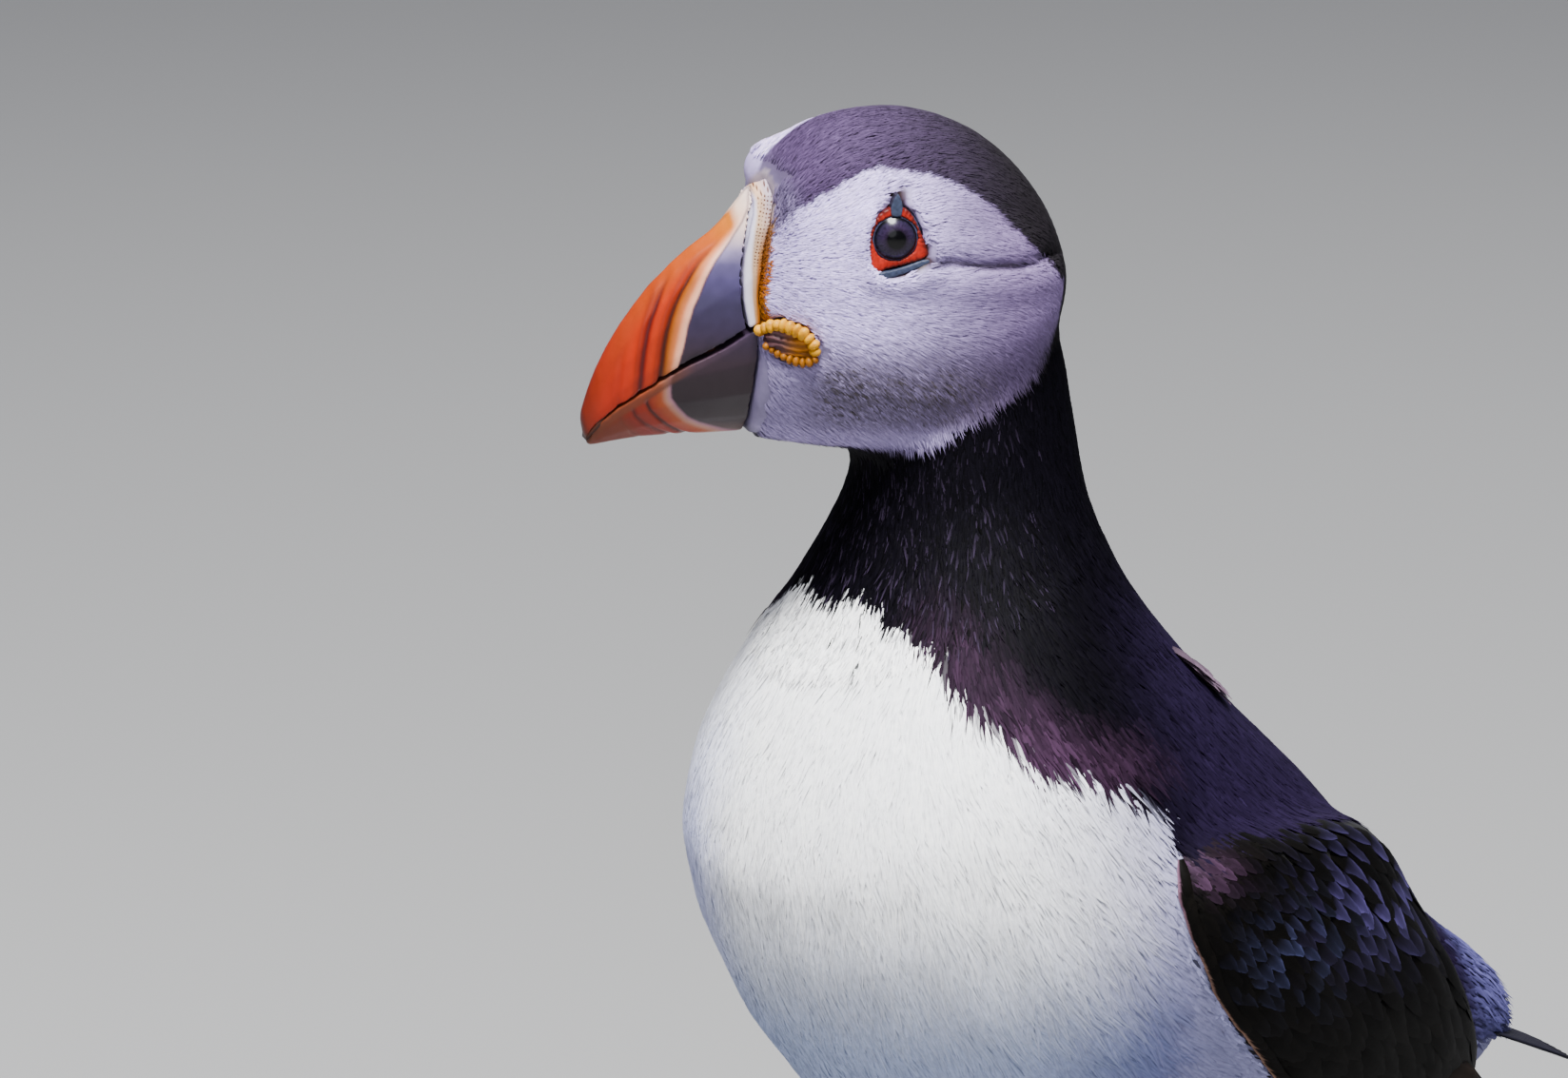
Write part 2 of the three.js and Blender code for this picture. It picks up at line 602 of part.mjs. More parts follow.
const inHead = (solid) => solid.transform(headPlace.toArray());
const mirrorSolid = (solid) => toSolid(mirrored(toGeometry(solid)));

// The parts around the eye, and the beds that they and the eye cut in the head.
const eyeBall = (grow) =>
  toSolid(new THREE.SphereGeometry(EYE.radius + grow, 14, 9)).transform(eyeFrame.toArray());
const ring = eyePlate(RING_OUTLINE, RING.level, RING.thick)
  .subtract(eyeOpening(EYE.opening))
  .subtract(eyeBall(GAP));
const ringBlock = eyePlate(RING_OUTLINE, RING.level + PLATE_RISE, RING.thick + 2 * PLATE_RISE);
const besideRing = (outline) => eyePlate(outline, RING.level + PLATE_RISE, RING.thick).subtract(ringBlock);
const upperPlate = besideRing(UPPER_PLATE);
const lowerPlate = besideRing(LOWER_PLATE);
const bedOf = (outline) =>
  eyePlate(grownOutline(outline, GAP), RING.level + BED_RISE, RING.thick + BED_RISE + GAP);
const eyeBed = bedOf(RING_OUTLINE).add(bedOf(UPPER_PLATE)).add(bedOf(LOWER_PLATE)).add(eyeBall(GAP));
const rosetteBed = rosette(GAP);

const head = toSolid(headShape().geometry(HEAD_MESH))
  .intersect(behindEdge)
  .subtract(eyeBed)
  .subtract(mirrorSolid(eyeBed))
  .subtract(rosetteBed)
  .subtract(mirrorSolid(rosetteBed));

// Head and neck meet along a plane under the cheeks; the neck gives way to the head there.
const NECK_BASE = [[4, 142], [0.45, 1]];
const RUMP_CUT = [[-62, 62], [1, 0.35]];
const [neckPiece, belowNeck] = partAt(trunk.subtract(inHead(headWithGap)), ...NECK_BASE);
const [torso, rump] = partAt(belowNeck, ...RUMP_CUT);

addPiece("head", inHead(head), MATERIAL.faceFeather);
addPiece("neck", neckPiece, MATERIAL.blackFeather);

addPiece("torso", torso, MATERIAL.whiteFeather);
addPiece("rump", rump, MATERIAL.whiteFeather);
addPiece("tail", toSolid(limb(TAIL, { around: 12, rings: 6 })).subtract(trunkWithGap), MATERIAL.blackFeather);

const wing = toSolid(wingShell()).subtract(trunkWithGap);
const primaries = toSolid(limb(PRIMARIES, { around: 12, rings: 8, flatUp: new THREE.Vector3(1, 0, 0.25) }))
  .subtract(trunkWithGap)
  .subtract(swelled(wingShell()));
const footSolid = foot();

for (const side of ["left", "right"]) {
  const onSide = (solid) => (side === "left" ? solid : mirrorSolid(solid));
  addPiece(`wing_${side}`, onSide(wing), MATERIAL.wingFeather);
  addPiece(`primaries_${side}`, onSide(primaries), MATERIAL.wingFeather);

  addPiece(`thigh_${side}`, onSide(toSolid(thigh()).subtract(trunkWithGap)), MATERIAL.whiteFeather);
  addPiece(`shank_${side}`, onSide(toSolid(shank()).subtract(swelled(thigh()))), MATERIAL.orangeFoot);
  addPiece(`foot_${side}`, onSide(footSolid.subtract(swelled(shank()))), MATERIAL.orangeFoot);
  for (const toe of TOES) {
    addPiece(`claw_${side}_${toe.name}`, onSide(toSolid(claw(toe)).subtract(footSolid)), MATERIAL.blackClaw);
  }

  addPiece(`eye_${side}`, inHead(onSide(eyeBall(0))), MATERIAL.eyeBall);
  addPiece(`eye_ring_${side}`, inHead(onSide(ring)), MATERIAL.redRing);
  addPiece(`eye_plate_upper_${side}`, inHead(onSide(upperPlate)), MATERIAL.slateHorn);
  addPiece(`eye_plate_lower_${side}`, inHead(onSide(lowerPlate)), MATERIAL.slateHorn);
  addPiece(`rosette_${side}`, inHead(onSide(rosette().intersect(behindEdge))), MATERIAL.yellowSkin);
}

addPiece("bill_cere", inHead(billUpper.intersect(behindCere)), MATERIAL.paleHorn);
addPiece("bill_upper_plate", inHead(billUpper.intersect(frontOfCere).intersect(behindPlate)), MATERIAL.slateHorn);
addPiece("bill_upper_tip", inHead(billUpper.intersect(frontOfCere).intersect(frontOfPlate)), MATERIAL.orangeHorn);
addPiece("bill_lower_plate", inHead(billLower.intersect(aboveLower)), MATERIAL.slateHorn);
addPiece("bill_lower_tip", inHead(billLower.intersect(belowLower)), MATERIAL.orangeHorn);

// The box's centre goes over the origin, and the soles stay at height 0.
const box = new THREE.Box3().setFromObject(bird);
bird.position.set(-(box.min.x + box.max.x) / 2, -(box.min.y + box.max.y) / 2, -box.min.z);

export default bird;
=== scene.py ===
# %% [markdown]
# # An atlantic puffin
# A seabird of the cold north, standing upright with its neck raised and its head turned a little aside.
# The plain solids of the bird are loaded first. They fix every size and place. This lesson then gives
# the bird its skin, its coat of feathers, its horn and its colours, one step at a time.

# %% Load the plain solids
import json
import math

import bmesh
import bpy
import numpy as np
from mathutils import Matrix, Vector
from mathutils.bvhtree import BVHTree

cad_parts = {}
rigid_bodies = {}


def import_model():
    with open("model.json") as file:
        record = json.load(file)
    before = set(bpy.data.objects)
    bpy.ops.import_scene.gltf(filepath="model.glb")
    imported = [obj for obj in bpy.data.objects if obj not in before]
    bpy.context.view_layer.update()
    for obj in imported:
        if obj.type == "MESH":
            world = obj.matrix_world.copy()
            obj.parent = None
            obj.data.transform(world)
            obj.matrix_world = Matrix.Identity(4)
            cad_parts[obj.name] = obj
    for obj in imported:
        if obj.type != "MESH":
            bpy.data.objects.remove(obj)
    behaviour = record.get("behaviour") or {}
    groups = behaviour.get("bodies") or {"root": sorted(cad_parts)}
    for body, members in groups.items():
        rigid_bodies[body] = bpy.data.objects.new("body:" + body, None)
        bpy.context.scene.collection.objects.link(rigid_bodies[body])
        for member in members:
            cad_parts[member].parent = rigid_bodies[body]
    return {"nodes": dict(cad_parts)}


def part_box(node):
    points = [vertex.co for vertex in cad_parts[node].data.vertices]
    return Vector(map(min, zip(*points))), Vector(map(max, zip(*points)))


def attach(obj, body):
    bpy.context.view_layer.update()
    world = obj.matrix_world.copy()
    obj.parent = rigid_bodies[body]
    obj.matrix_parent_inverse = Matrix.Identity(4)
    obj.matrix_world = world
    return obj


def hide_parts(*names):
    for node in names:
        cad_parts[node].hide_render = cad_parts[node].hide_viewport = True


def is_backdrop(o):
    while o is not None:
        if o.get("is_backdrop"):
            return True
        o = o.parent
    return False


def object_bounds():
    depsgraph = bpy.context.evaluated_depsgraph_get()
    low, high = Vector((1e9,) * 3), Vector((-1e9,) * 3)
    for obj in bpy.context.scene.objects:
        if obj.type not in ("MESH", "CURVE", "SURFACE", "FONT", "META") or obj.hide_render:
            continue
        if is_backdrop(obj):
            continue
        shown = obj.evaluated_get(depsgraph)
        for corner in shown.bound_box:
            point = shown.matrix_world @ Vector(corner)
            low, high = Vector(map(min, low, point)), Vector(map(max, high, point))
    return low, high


for leftover in list(bpy.data.objects):
    bpy.data.objects.remove(leftover)
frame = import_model()
CAD_LOW, CAD_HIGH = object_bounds()
MM = 0.001
SIDES = ("left", "right")
MIRROR = (("left", 1), ("right", -1))
UP = np.array([0.0, 0.0, 1.0])
print("solids:", len(frame["nodes"]), "box, mm:", [round(v / MM, 1) for v in CAD_HIGH - CAD_LOW])

# %% [markdown]
# ## Two rulers
# Marks on a bird are easiest to place from the bird itself. One ruler sits between the eyes and turns
# with the head: left, front and up in millimetres. The other stands on the floor with the body: left,
# forward of the legs, and up. Both are read from the solids, so they follow if a solid moves.

# %% Rulers for the head and the body
def unit(vectors):
    vectors = np.asarray(vectors, float)
    return vectors / np.maximum(np.linalg.norm(vectors, axis=-1, keepdims=True), 1e-12)


def middle_of(node):
    low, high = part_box(node)
    return np.array(low + high) / 2


EYE_MIDDLE = {side: middle_of(f"eye_{side}") for side in SIDES}
HEAD_ORIGIN = (EYE_MIDDLE["left"] + EYE_MIDDLE["right"]) / 2
HEAD_LEFT = unit(EYE_MIDDLE["left"] - EYE_MIDDLE["right"])
HEAD_FRONT = unit(np.cross(HEAD_LEFT, UP))
HEAD_AXES = np.stack([HEAD_LEFT, HEAD_FRONT, np.cross(HEAD_FRONT, HEAD_LEFT)])
BREAST_FORWARD = 44.0  # the breast's foremost point lies this far ahead of the body's own plane
BODY_ORIGIN = np.array([0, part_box("torso")[0].y + BREAST_FORWARD * MM, 0])
BODY_AXES = np.array([[1.0, 0, 0], [0, -1.0, 0], [0, 0, 1.0]])


def to_head(points):
    return (np.asarray(points) - HEAD_ORIGIN) @ HEAD_AXES.T / MM


def from_head(marks):
    return HEAD_ORIGIN + np.asarray(marks, float) @ HEAD_AXES * MM


def to_body(points):
    return (np.asarray(points) - BODY_ORIGIN) @ BODY_AXES.T / MM


def from_body(marks):
    return BODY_ORIGIN + np.asarray(marks, float) @ BODY_AXES * MM


eyes_apart = float(np.linalg.norm(EYE_MIDDLE["left"] - EYE_MIDDLE["right"])) / MM
print("eyes are", round(eyes_apart, 1), "mm apart")

# %% [markdown]
# ## Small tools for shapes
# Most pieces here are made as plain lists of corners and faces, which Python arrays handle quickly.
# `make_mesh` turns such lists into an object. `ramp` fades from 0 to 1, `ripple` is a soft random
# unevenness that looks the same on every run, and `inside` says how far a point lies inside an outline.

# %% Mesh and shading helpers
def new_object(name, data):
    piece = bpy.data.objects.new(name, data)
    bpy.context.scene.collection.objects.link(piece)
    return piece


def make_mesh(name, corners, faces, smooth=True):
    """faces is one array of triangles or quads."""
    mesh = bpy.data.meshes.new(name)
    faces = np.asarray(faces, np.int32)
    count, size = faces.shape
    mesh.vertices.add(len(corners))
    mesh.vertices.foreach_set("co", np.asarray(corners, np.float32).ravel())
    mesh.loops.add(count * size)
    mesh.loops.foreach_set("vertex_index", faces.ravel())
    mesh.polygons.add(count)
    mesh.polygons.foreach_set("loop_start", np.arange(0, count * size, size, dtype=np.int32))
    mesh.polygons.foreach_set("use_smooth", np.full(count, smooth))
    mesh.update(calc_edges=True)
    return new_object(name, mesh)


def made_by_modifiers(holder, name):
    """What an object's modifiers make of it, as a plain mesh with none."""
    bpy.context.view_layer.update()
    mesh = bpy.data.meshes.new_from_object(holder.evaluated_get(bpy.context.evaluated_depsgraph_get()))
    bpy.data.objects.remove(holder)
    mesh.name = name
    return new_object(name, mesh)


def read_from(items, field, size, kind=np.float32):
    """One fact about every corner, edge or loop, as an array with `size` numbers to a row."""
    values = np.empty(len(items) * size, kind)
    items.foreach_get(field, values)
    return values.reshape(-1, size)


def corners_of(piece):
    return read_from(piece.data.vertices, "co", 3).astype(float)


def normals_of(piece):
    return read_from(piece.data.vertex_normals, "vector", 3).astype(float)


def set_corners(piece, places):
    piece.data.vertices.foreach_set("co", np.asarray(places, np.float32).ravel())
    piece.data.update()


def push_out(piece, distance):
    """Moves each corner outward by a distance in mm."""
    set_corners(piece, corners_of(piece) + normals_of(piece) * (distance * MM)[:, None])


def mark(piece, name, values):
    """Keeps a number, or a colour, for every corner of a piece."""
    values = np.asarray(values, np.float32)
    if values.ndim == 1:
        piece.data.attributes.new(name, "FLOAT", "POINT").data.foreach_set("value", values)
    else:
        rgba = np.c_[values, np.ones(len(values), np.float32)]
        piece.data.attributes.new(name, "FLOAT_COLOR", "POINT").data.foreach_set("color", rgba.ravel())


def laid_flat(ways, normals):
    """The part of some directions that lies along a surface."""
    return unit(ways - (ways * normals).sum(axis=1, keepdims=True) * normals)


def ramp(value, low, high):
    share = np.clip((np.asarray(value, float) - low) / (high - low), 0, 1)
    return share * share * (3 - 2 * share)


def ripple(points, size, seed=0):
    """Soft unevenness between about -1 and 1, with waves of about `size` millimetres."""
    dice = np.random.default_rng(seed)
    total = np.zeros(len(points))
    for _ in range(7):
        direction = unit(dice.normal(size=3)) * (2 * math.pi / (size * dice.uniform(0.6, 1.5)))
        total += np.sin(np.asarray(points) / MM @ direction + dice.uniform(0, 6.3))
    return total / 2.6


def inside(points, outline):
    """Distance in mm inside a closed outline, negative outside. Both are lists of flat points."""
    outline = np.asarray(outline, float)
    nearest = np.full(len(points), 1e9)
    crossings = np.zeros(len(points), int)
    for a, b in zip(outline, np.roll(outline, -1, axis=0)):
        along = b - a
        share = np.clip(((points - a) @ along) / (along @ along), 0, 1)
        nearest = np.minimum(nearest, np.linalg.norm(points - a - share[:, None] * along, axis=1))
        spans = (a[1] > points[:, 1]) != (b[1] > points[:, 1])
        rise = b[1] - a[1] if b[1] != a[1] else 1e-9
        crossings += spans & (points[:, 0] < a[0] + (points[:, 1] - a[1]) / rise * along[0])
    return np.where(crossings % 2 == 1, nearest, -nearest)


def past_line(points, line):
    """Signed distance in mm of flat points from a line: positive to the left when walking along it."""
    nearest, signed = np.full(len(points), 1e9), np.zeros(len(points))
    for a, b in zip(np.asarray(line[:-1], float), np.asarray(line[1:], float)):
        along = b - a
        share = np.clip(((points - a) @ along) / (along @ along), 0, 1)
        gap = points - a - share[:, None] * along
        distance = np.linalg.norm(gap, axis=1)
        turn = np.sign(along[0] * gap[:, 1] - along[1] * gap[:, 0])
        signed = np.where(distance < nearest, distance * turn, signed)
        nearest = np.minimum(nearest, distance)
    return signed


def off_line(points, line):
    return np.abs(past_line(points, line))


def smooth_line(points, count):
    """A smooth curve through a few points, given back as `count` points evenly spread along it."""
    points = np.asarray(points, float)
    padded = np.concatenate([2 * points[[0]] - points[[1]], points, 2 * points[[-1]] - points[[-2]]])
    dense = []
    for a, b, c, d in zip(padded, padded[1:], padded[2:], padded[3:]):
        for share in np.linspace(0, 1, 12, endpoint=False):
            curve = 2 * b + (c - a) * share + (2 * a - 5 * b + 4 * c - d) * share**2
            dense.append(0.5 * (curve + (3 * b - a - 3 * c + d) * share**3))
    dense = np.array(dense + [padded[-2]])
    length = np.concatenate([[0], np.cumsum(np.linalg.norm(np.diff(dense, axis=0), axis=1))])
    wanted = np.linspace(0, length[-1], count)
    return np.stack([np.interp(wanted, length, dense[:, k]) for k in range(dense.shape[1])], axis=1)


def blend_colours(base, tint, share):
    """Mixes a tint into a colour, or into one colour for each point."""
    return base * (1 - share[:, None]) + np.asarray(tint) * share[:, None]


def paint_colour(hex_code):
    """A paint chip's code as a linear colour."""
    parts = np.array([int(hex_code[i : i + 2], 16) / 255 for i in (0, 2, 4)])
    return np.where(parts <= 0.04045, parts / 12.92, ((parts + 0.055) / 1.055) ** 2.4)


def near(points, place, spread):
    """1 at a place, fading out over the spread, in mm along each ruler."""
    return np.exp(-((((points - np.asarray(place, float)) / np.asarray(spread, float)) ** 2).sum(axis=1)))


def stripe(distance, width):
    """1 on a line, fading out over the width on both sides."""
    return np.exp(-((distance / width) ** 2))


def stops(value, table):
    """Looks colours up in a short table of (value, colour) rows."""
    paint = np.array([paint_colour(row[1]) for row in table])
    return np.stack([np.interp(value, [row[0] for row in table], paint[:, k]) for k in range(3)], axis=1)


# %% [markdown]
# ## The skin
# A living bird has one skin with no joins, so the flesh solids are melted into one. Each is swelled a
# little so that it overlaps its neighbour, and a voxel remesh fuses them. Relaxing then rounds off the
# flat facets: many rounds on the big smooth body, few on the head and almost none on the feet.

# %% Melt the flesh solids into one
FLESH = ["head", "neck", "torso", "rump"]
FLESH += [f"{part}_{side}" for part in ("wing", "thigh", "shank", "foot") for side in SIDES]
SWELL = 0.45 * MM
VOXEL = 1.0 * MM


def welded_copy(node):
    """A solid's mesh with its loose triangles joined at their corners."""
    shape = bmesh.new()
    shape.from_mesh(frame["nodes"][node].data)
    bmesh.ops.remove_doubles(shape, verts=shape.verts, dist=1e-6)
    shape.normal_update()
    return shape


def joined_solids(nodes, swell):
    corners, faces, start = [], [], 0
    for node in nodes:
        shape = welded_copy(node)
        corners += [corner.co + corner.normal * swell for corner in shape.verts]
        faces += [[start + corner.index for corner in face.verts] for face in shape.faces]
        start += len(shape.verts)
        shape.free()
    return np.array(corners), np.array(faces)


def remeshed(name, corners, faces, voxel):
    rough = make_mesh(name + "_rough", corners, faces)
    remesh = rough.modifiers.new("melt", "REMESH")
    remesh.mode = "VOXEL"
    remesh.voxel_size = voxel
    remesh.use_smooth_shade = True
    return made_by_modifiers(rough, name)


def relax(piece, rounds, field=None):
    """Moves each corner towards its neighbours' middle. rounds may be one number for each corner."""
    values = corners_of(piece) if field is None else np.asarray(field, float)
    a, b = read_from(piece.data.edges, "vertices", 2, np.int32).T
    flat = values.ndim == 1
    values = values[:, None] if flat else values
    links = np.maximum(np.bincount(a, minlength=len(values)) + np.bincount(b, minlength=len(values)), 1)
    rounds = np.broadcast_to(rounds, len(values))
    for turn in range(int(rounds.max())):
        ahead = [np.bincount(a, row[b], len(values)) for row in values.T]
        behind = [np.bincount(b, row[a], len(values)) for row in values.T]
        mean = np.stack([p + q for p, q in zip(ahead, behind)], axis=1) / links[:, None]
        values = values + 0.5 * (rounds > turn)[:, None] * (mean - values)
    return values[:, 0] if flat else values


flesh_corners, flesh_faces = joined_solids(FLESH, SWELL)
skin = remeshed("skin", flesh_corners, flesh_faces, VOXEL)
print("skin:", len(skin.data.vertices), "corners")

# %% Name each spot of the skin by the solid under it
def surface_tree(corners, faces):
    return BVHTree.FromPolygons([tuple(c) for c in corners], [tuple(int(i) for i in f) for f in faces])


flesh_tree = surface_tree(flesh_corners, flesh_faces)
part_of_face = []
for node in FLESH:
    part_of_face += [node.split("_")[0]] * len(frame["nodes"][node].data.polygons)


def part_at(points):
    return np.array([part_of_face[flesh_tree.find_nearest(p)[2]] for p in points.tolist()])


corners = corners_of(skin)
part = part_at(corners)
head_mark = to_head(corners)
socket = np.minimum(*[np.linalg.norm(corners - EYE_MIDDLE[side], axis=1) for side in SIDES]) / MM
bill_root = ramp(head_mark[:, 1], 14.5, 17.5) * (part == "head")
ROUNDS = {"foot": 2, "shank": 5, "head": 16, "neck": 46, "wing": 26}  # the rest is rounded off 70 times
rounds = np.array([ROUNDS.get(name, 70) for name in part])
rounds = np.where((part == "head") & ((socket < 9.5) | (bill_root > 0.5)), 4, rounds)
rounds = relax(skin, 12, field=rounds.astype(float))
set_corners(skin, relax(skin, rounds))
# rounding off shrinks what bulges, so the skin is let out again to the solids
corners = corners_of(skin)
outward = normals_of(skin)
nearest = np.array([flesh_tree.find_nearest(p)[0][:] for p in corners.tolist()])
shrunk = np.clip(((nearest - corners) * outward).sum(axis=1), 0, 2 * MM)
shrunk = np.where(np.isin(part, ["shank", "foot"]), 0, shrunk)
corners = corners + outward * relax(skin, 25, field=shrunk)[:, None]
set_corners(skin, corners)
print("let out by up to", round(float(shrunk.max()) / MM, 2), "mm")
print("named parts:", {name: int((part == name).sum()) for name in sorted(set(part))})

# %% [markdown]
# ## Room for the feathers
# The solids show the outside of the coat. The skin lies deeper, by as much as the feathers stand up
# there: half a millimetre on the face and over one on the body. Feet and shanks are bare.

# %% Sink the skin under the coat
COAT_DEPTH = {
    "head": 0.6, "neck": 1.3, "torso": 1.1, "rump": 1.4, "wing": 1.1, "thigh": 1.5, "shank": 0, "foot": 0,
}


def gap_to(points, nodes):
    """Distance in mm from each point to the nearest of some solids."""
    tree = surface_tree(*joined_solids(nodes, 0))
    return np.array([tree.find_nearest(p)[3] for p in points.tolist()]) / MM


EYE_HORN = [f"eye_{piece}_{side}" for piece in ("ring", "plate_upper", "plate_lower") for side in SIDES]
BILL_HORN = ["bill_cere", "bill_upper_plate", "bill_lower_plate"]
depth = relax(skin, 14, field=np.array([COAT_DEPTH[name] for name in part]))
# the coat thins out to nothing beside the bill and the eye rings
beside = np.minimum(gap_to(corners, EYE_HORN), gap_to(corners, BILL_HORN))
depth = np.where(part == "head", depth * ramp(beside, 0.6, 3.2), depth)
corners = corners - normals_of(skin) * (SWELL + depth * MM)[:, None]

# %% [markdown]
# ## Folds of the face
# A furrow runs back from the corner of each eye, where the face feathers part. The cheek swells a
# little below it, and the skin rises towards the rim of the eye like a low lid.

# %% Press the furrow and raise the lids
FURROW = [(-5.6, -3.9), (-8.5, -3.7), (-14.7, -4.9), (-21.1, -5.5), (-26.1, -5.1), (-30.5, -5.9)]
FURROW_DEPTH, FURROW_WIDTH = 0.95, 0.75  # mm
CHEEK_SWELL, LID = 0.35, 0.45  # mm
# fluffed-out places of the coat: height, middle (left, front, up) and spread, all in mm
FAR_BROW = 2.8, (-6.5, 15.4, 6), (4.4, 4, 4.8)
NAPE_FLUFF = 1.4, (-5, -31, -27), (9, 5, 8)
SHOULDER_FLUFF = 2.1, (31, -60, 93), (13, 18, 9)  # on both sides of the body
head_mark = to_head(corners)
body_mark = to_body(corners)
body_mark[:, 0] = np.abs(body_mark[:, 0])
brow, nape = (high * near(head_mark, place, spread) for high, place, spread in (FAR_BROW, NAPE_FLUFF))
shoulder = SHOULDER_FLUFF[0] * near(body_mark, *SHOULDER_FLUFF[1:])
fluff = brow * (part == "head") + nape + shoulder * np.isin(part, ["wing", "torso"])
corners = corners + normals_of(skin) * (fluff * MM)[:, None]
head_mark = to_head(corners)
on_face = ramp(np.abs(head_mark[:, 0]), 5, 9) * (part == "head")
distance = off_line(head_mark[:, 1:], FURROW)
furrow = CHEEK_SWELL * stripe(distance - 3.2, 2) - FURROW_DEPTH * stripe(distance, FURROW_WIDTH)
from_eye_middle = np.linalg.norm(head_mark[:, 1:] - [-0.3, -0.6], axis=1)
lid = LID * stripe(from_eye_middle - 6.4, 1.5)
corners = corners + normals_of(skin) * ((furrow + lid) * on_face * MM)[:, None]
set_corners(skin, corners)
print("furrow pressed into", int((furrow * on_face < -0.3).sum()), "corners")

# %% Facts about every face of the skin
skin.data.update()
face_corners = [tuple(face.vertices) for face in skin.data.polygons]
skin_tree = surface_tree(corners, face_corners)
first_four = np.array([(f + f[-1:])[:4] for f in face_corners])
face_middle = corners[first_four].mean(axis=1)
diagonals = [corners[first_four[:, k + 2]] - corners[first_four[:, k]] for k in (0, 1)]
face_area = np.linalg.norm(np.cross(*diagonals), axis=1) / 2 / MM**2
corner_normal = normals_of(skin)
face_normal = unit(corner_normal[first_four].sum(axis=1))
face_part = part[first_four[:, 0]]
head_of_face, body_of_face = to_head(face_middle), to_body(face_middle)
seen_head, seen_body = head_of_face[:, 1:], body_of_face[:, 1:]  # as seen from the side
print("skin area, square mm:", {p: int(face_area[face_part == p].sum()) for p in sorted(set(part))})

# %% [markdown]
# ## The lie of the coat
# Feathers all point somewhere: back from the bill, down the neck, round the breast. A few arrows are
# enough to say so. Each face of the skin follows the arrows nearest to it, laid flat on the surface.

# %% Arrows for the lie of the feathers
HEAD_ARROWS = [  # left, front, up, then the direction in the same order
    ((13, 17, -4), (0.5, -1, 0.05)), ((13, 17, -24), (0.3, -1, -0.55)), ((0, 15, -37), (0, -1, -0.25)),
    ((19, 4, -13), (0, -1, -0.4)), ((16, 3, -27), (0, -0.75, -1)), ((15, -14, -30), (0, -0.75, -1)),
    ((13, -26, -13), (-0.3, -1, -0.55)), ((17, -13, 2), (-0.1, -1, -0.42)),
    ((17, -12, -8), (0, -1, 0.05)), ((14, -1, 9), (-0.3, -1, 0.25)), ((14, 11, 5), (0, -1, 0.62)),
    ((4, 17, 9), (0, -0.8, 0.9)), ((0, 0, 17.5), (0, -1, 0)), ((7, -19, 10), (0, -1, -0.6)),
    ((0, -31, -10), (0, -0.35, -1)), ((18, 9, -9), (0.1, -1, -0.3)), ((17, 5, 1), (0, -1, 0.35)),
    ((16, -22, -22), (0, -0.85, -0.8)), ((12, 12, -33), (0, -0.8, -0.9)), ((0, 0, -40), (0, -1, -0.6)),
]
BODY_ARROWS = [  # left, forward, up, then the direction
    ((19, 0, 168), (0, -0.15, -1)), ((0, 20, 160), (0, 0.1, -1)), ((0, -20, 165), (0, -0.1, -1)),
    ((33, 8, 130), (0.1, -0.35, -1)), ((12, 27, 132), (0, 0.2, -1)), ((0, -33, 132), (0, -0.72, -0.9)),
    ((30, -25, 122), (0.1, -0.75, -0.8)), ((0, -60, 105), (0, -0.75, -0.75)),
    ((22, -55, 100), (0, -0.8, -0.7)), ((0, -95, 68), (0, -0.85, -0.55)),
    ((18, -90, 62), (0, -0.85, -0.5)), ((0, 44, 92), (0, 0.02, -1)), ((30, 34, 90), (0.05, -0.25, -1)),
    ((47, 8, 95), (0, -0.55, -1)), ((45, 5, 68), (-0.1, -0.7, -0.8)),
    ((38, -25, 50), (-0.15, -1, -0.3)), ((20, 22, 55), (-0.1, -0.55, -0.8)),
    ((0, 0, 37), (0, -1, -0.1)), ((15, -40, 34), (0, -1, 0.08)), ((0, -75, 36), (0, -1, 0.3)),
    ((14, -92, 46), (0, -1, 0.25)), ((21, -12, 36), (0, -0.25, -1)), ((21, -20, 26), (0, 0, -1)),
    ((47, -30, 85), (0, -0.8, -0.75)), ((40, -60, 65), (0, -0.85, -0.65)),
]


def arrows_at(points, arrows, reach):
    places = np.array([a[0] for a in arrows], float)
    ways = unit([a[1] for a in arrows])
    places = np.concatenate([places, places * [-1, 1, 1]])
    ways = np.concatenate([ways, ways * [-1, 1, 1]])
    gap = ((points[:, None, :] - places[None]) ** 2).sum(axis=2)
    weight = np.exp(-gap / (2 * reach**2)) + 1e-9 / (gap + 1)
    return weight @ ways


head_way = arrows_at(head_of_face, HEAD_ARROWS, 6.5) @ HEAD_AXES
body_way = arrows_at(body_of_face, BODY_ARROWS, 15) @ BODY_AXES
way = unit(np.where((face_part == "head")[:, None], unit(head_way), unit(body_way)))
face_way = laid_flat(way, face_normal)
print("arrows:", len(HEAD_ARROWS), "on the head,", len(BODY_ARROWS), "on the body, all mirrored")

# %% [markdown]
# ## The markings
# A puffin wears a blackish cap and collar, pale cheeks and a white front. One function gives the colour
# at any point, and the skin, the tufts and the coverts ask it, so that they agree. The edge of each patch
# is an outline seen from the side; soft ripples break it up.

# %% Where each colour lies
# the colour beside the saddle of the bill, by height on the head
SADDLE_EDGE = [(-16, "8a5008"), (-8, "824606"), (-4, "8a5a2c"), (0, "9a7c6c"), (5, "a294a2")]
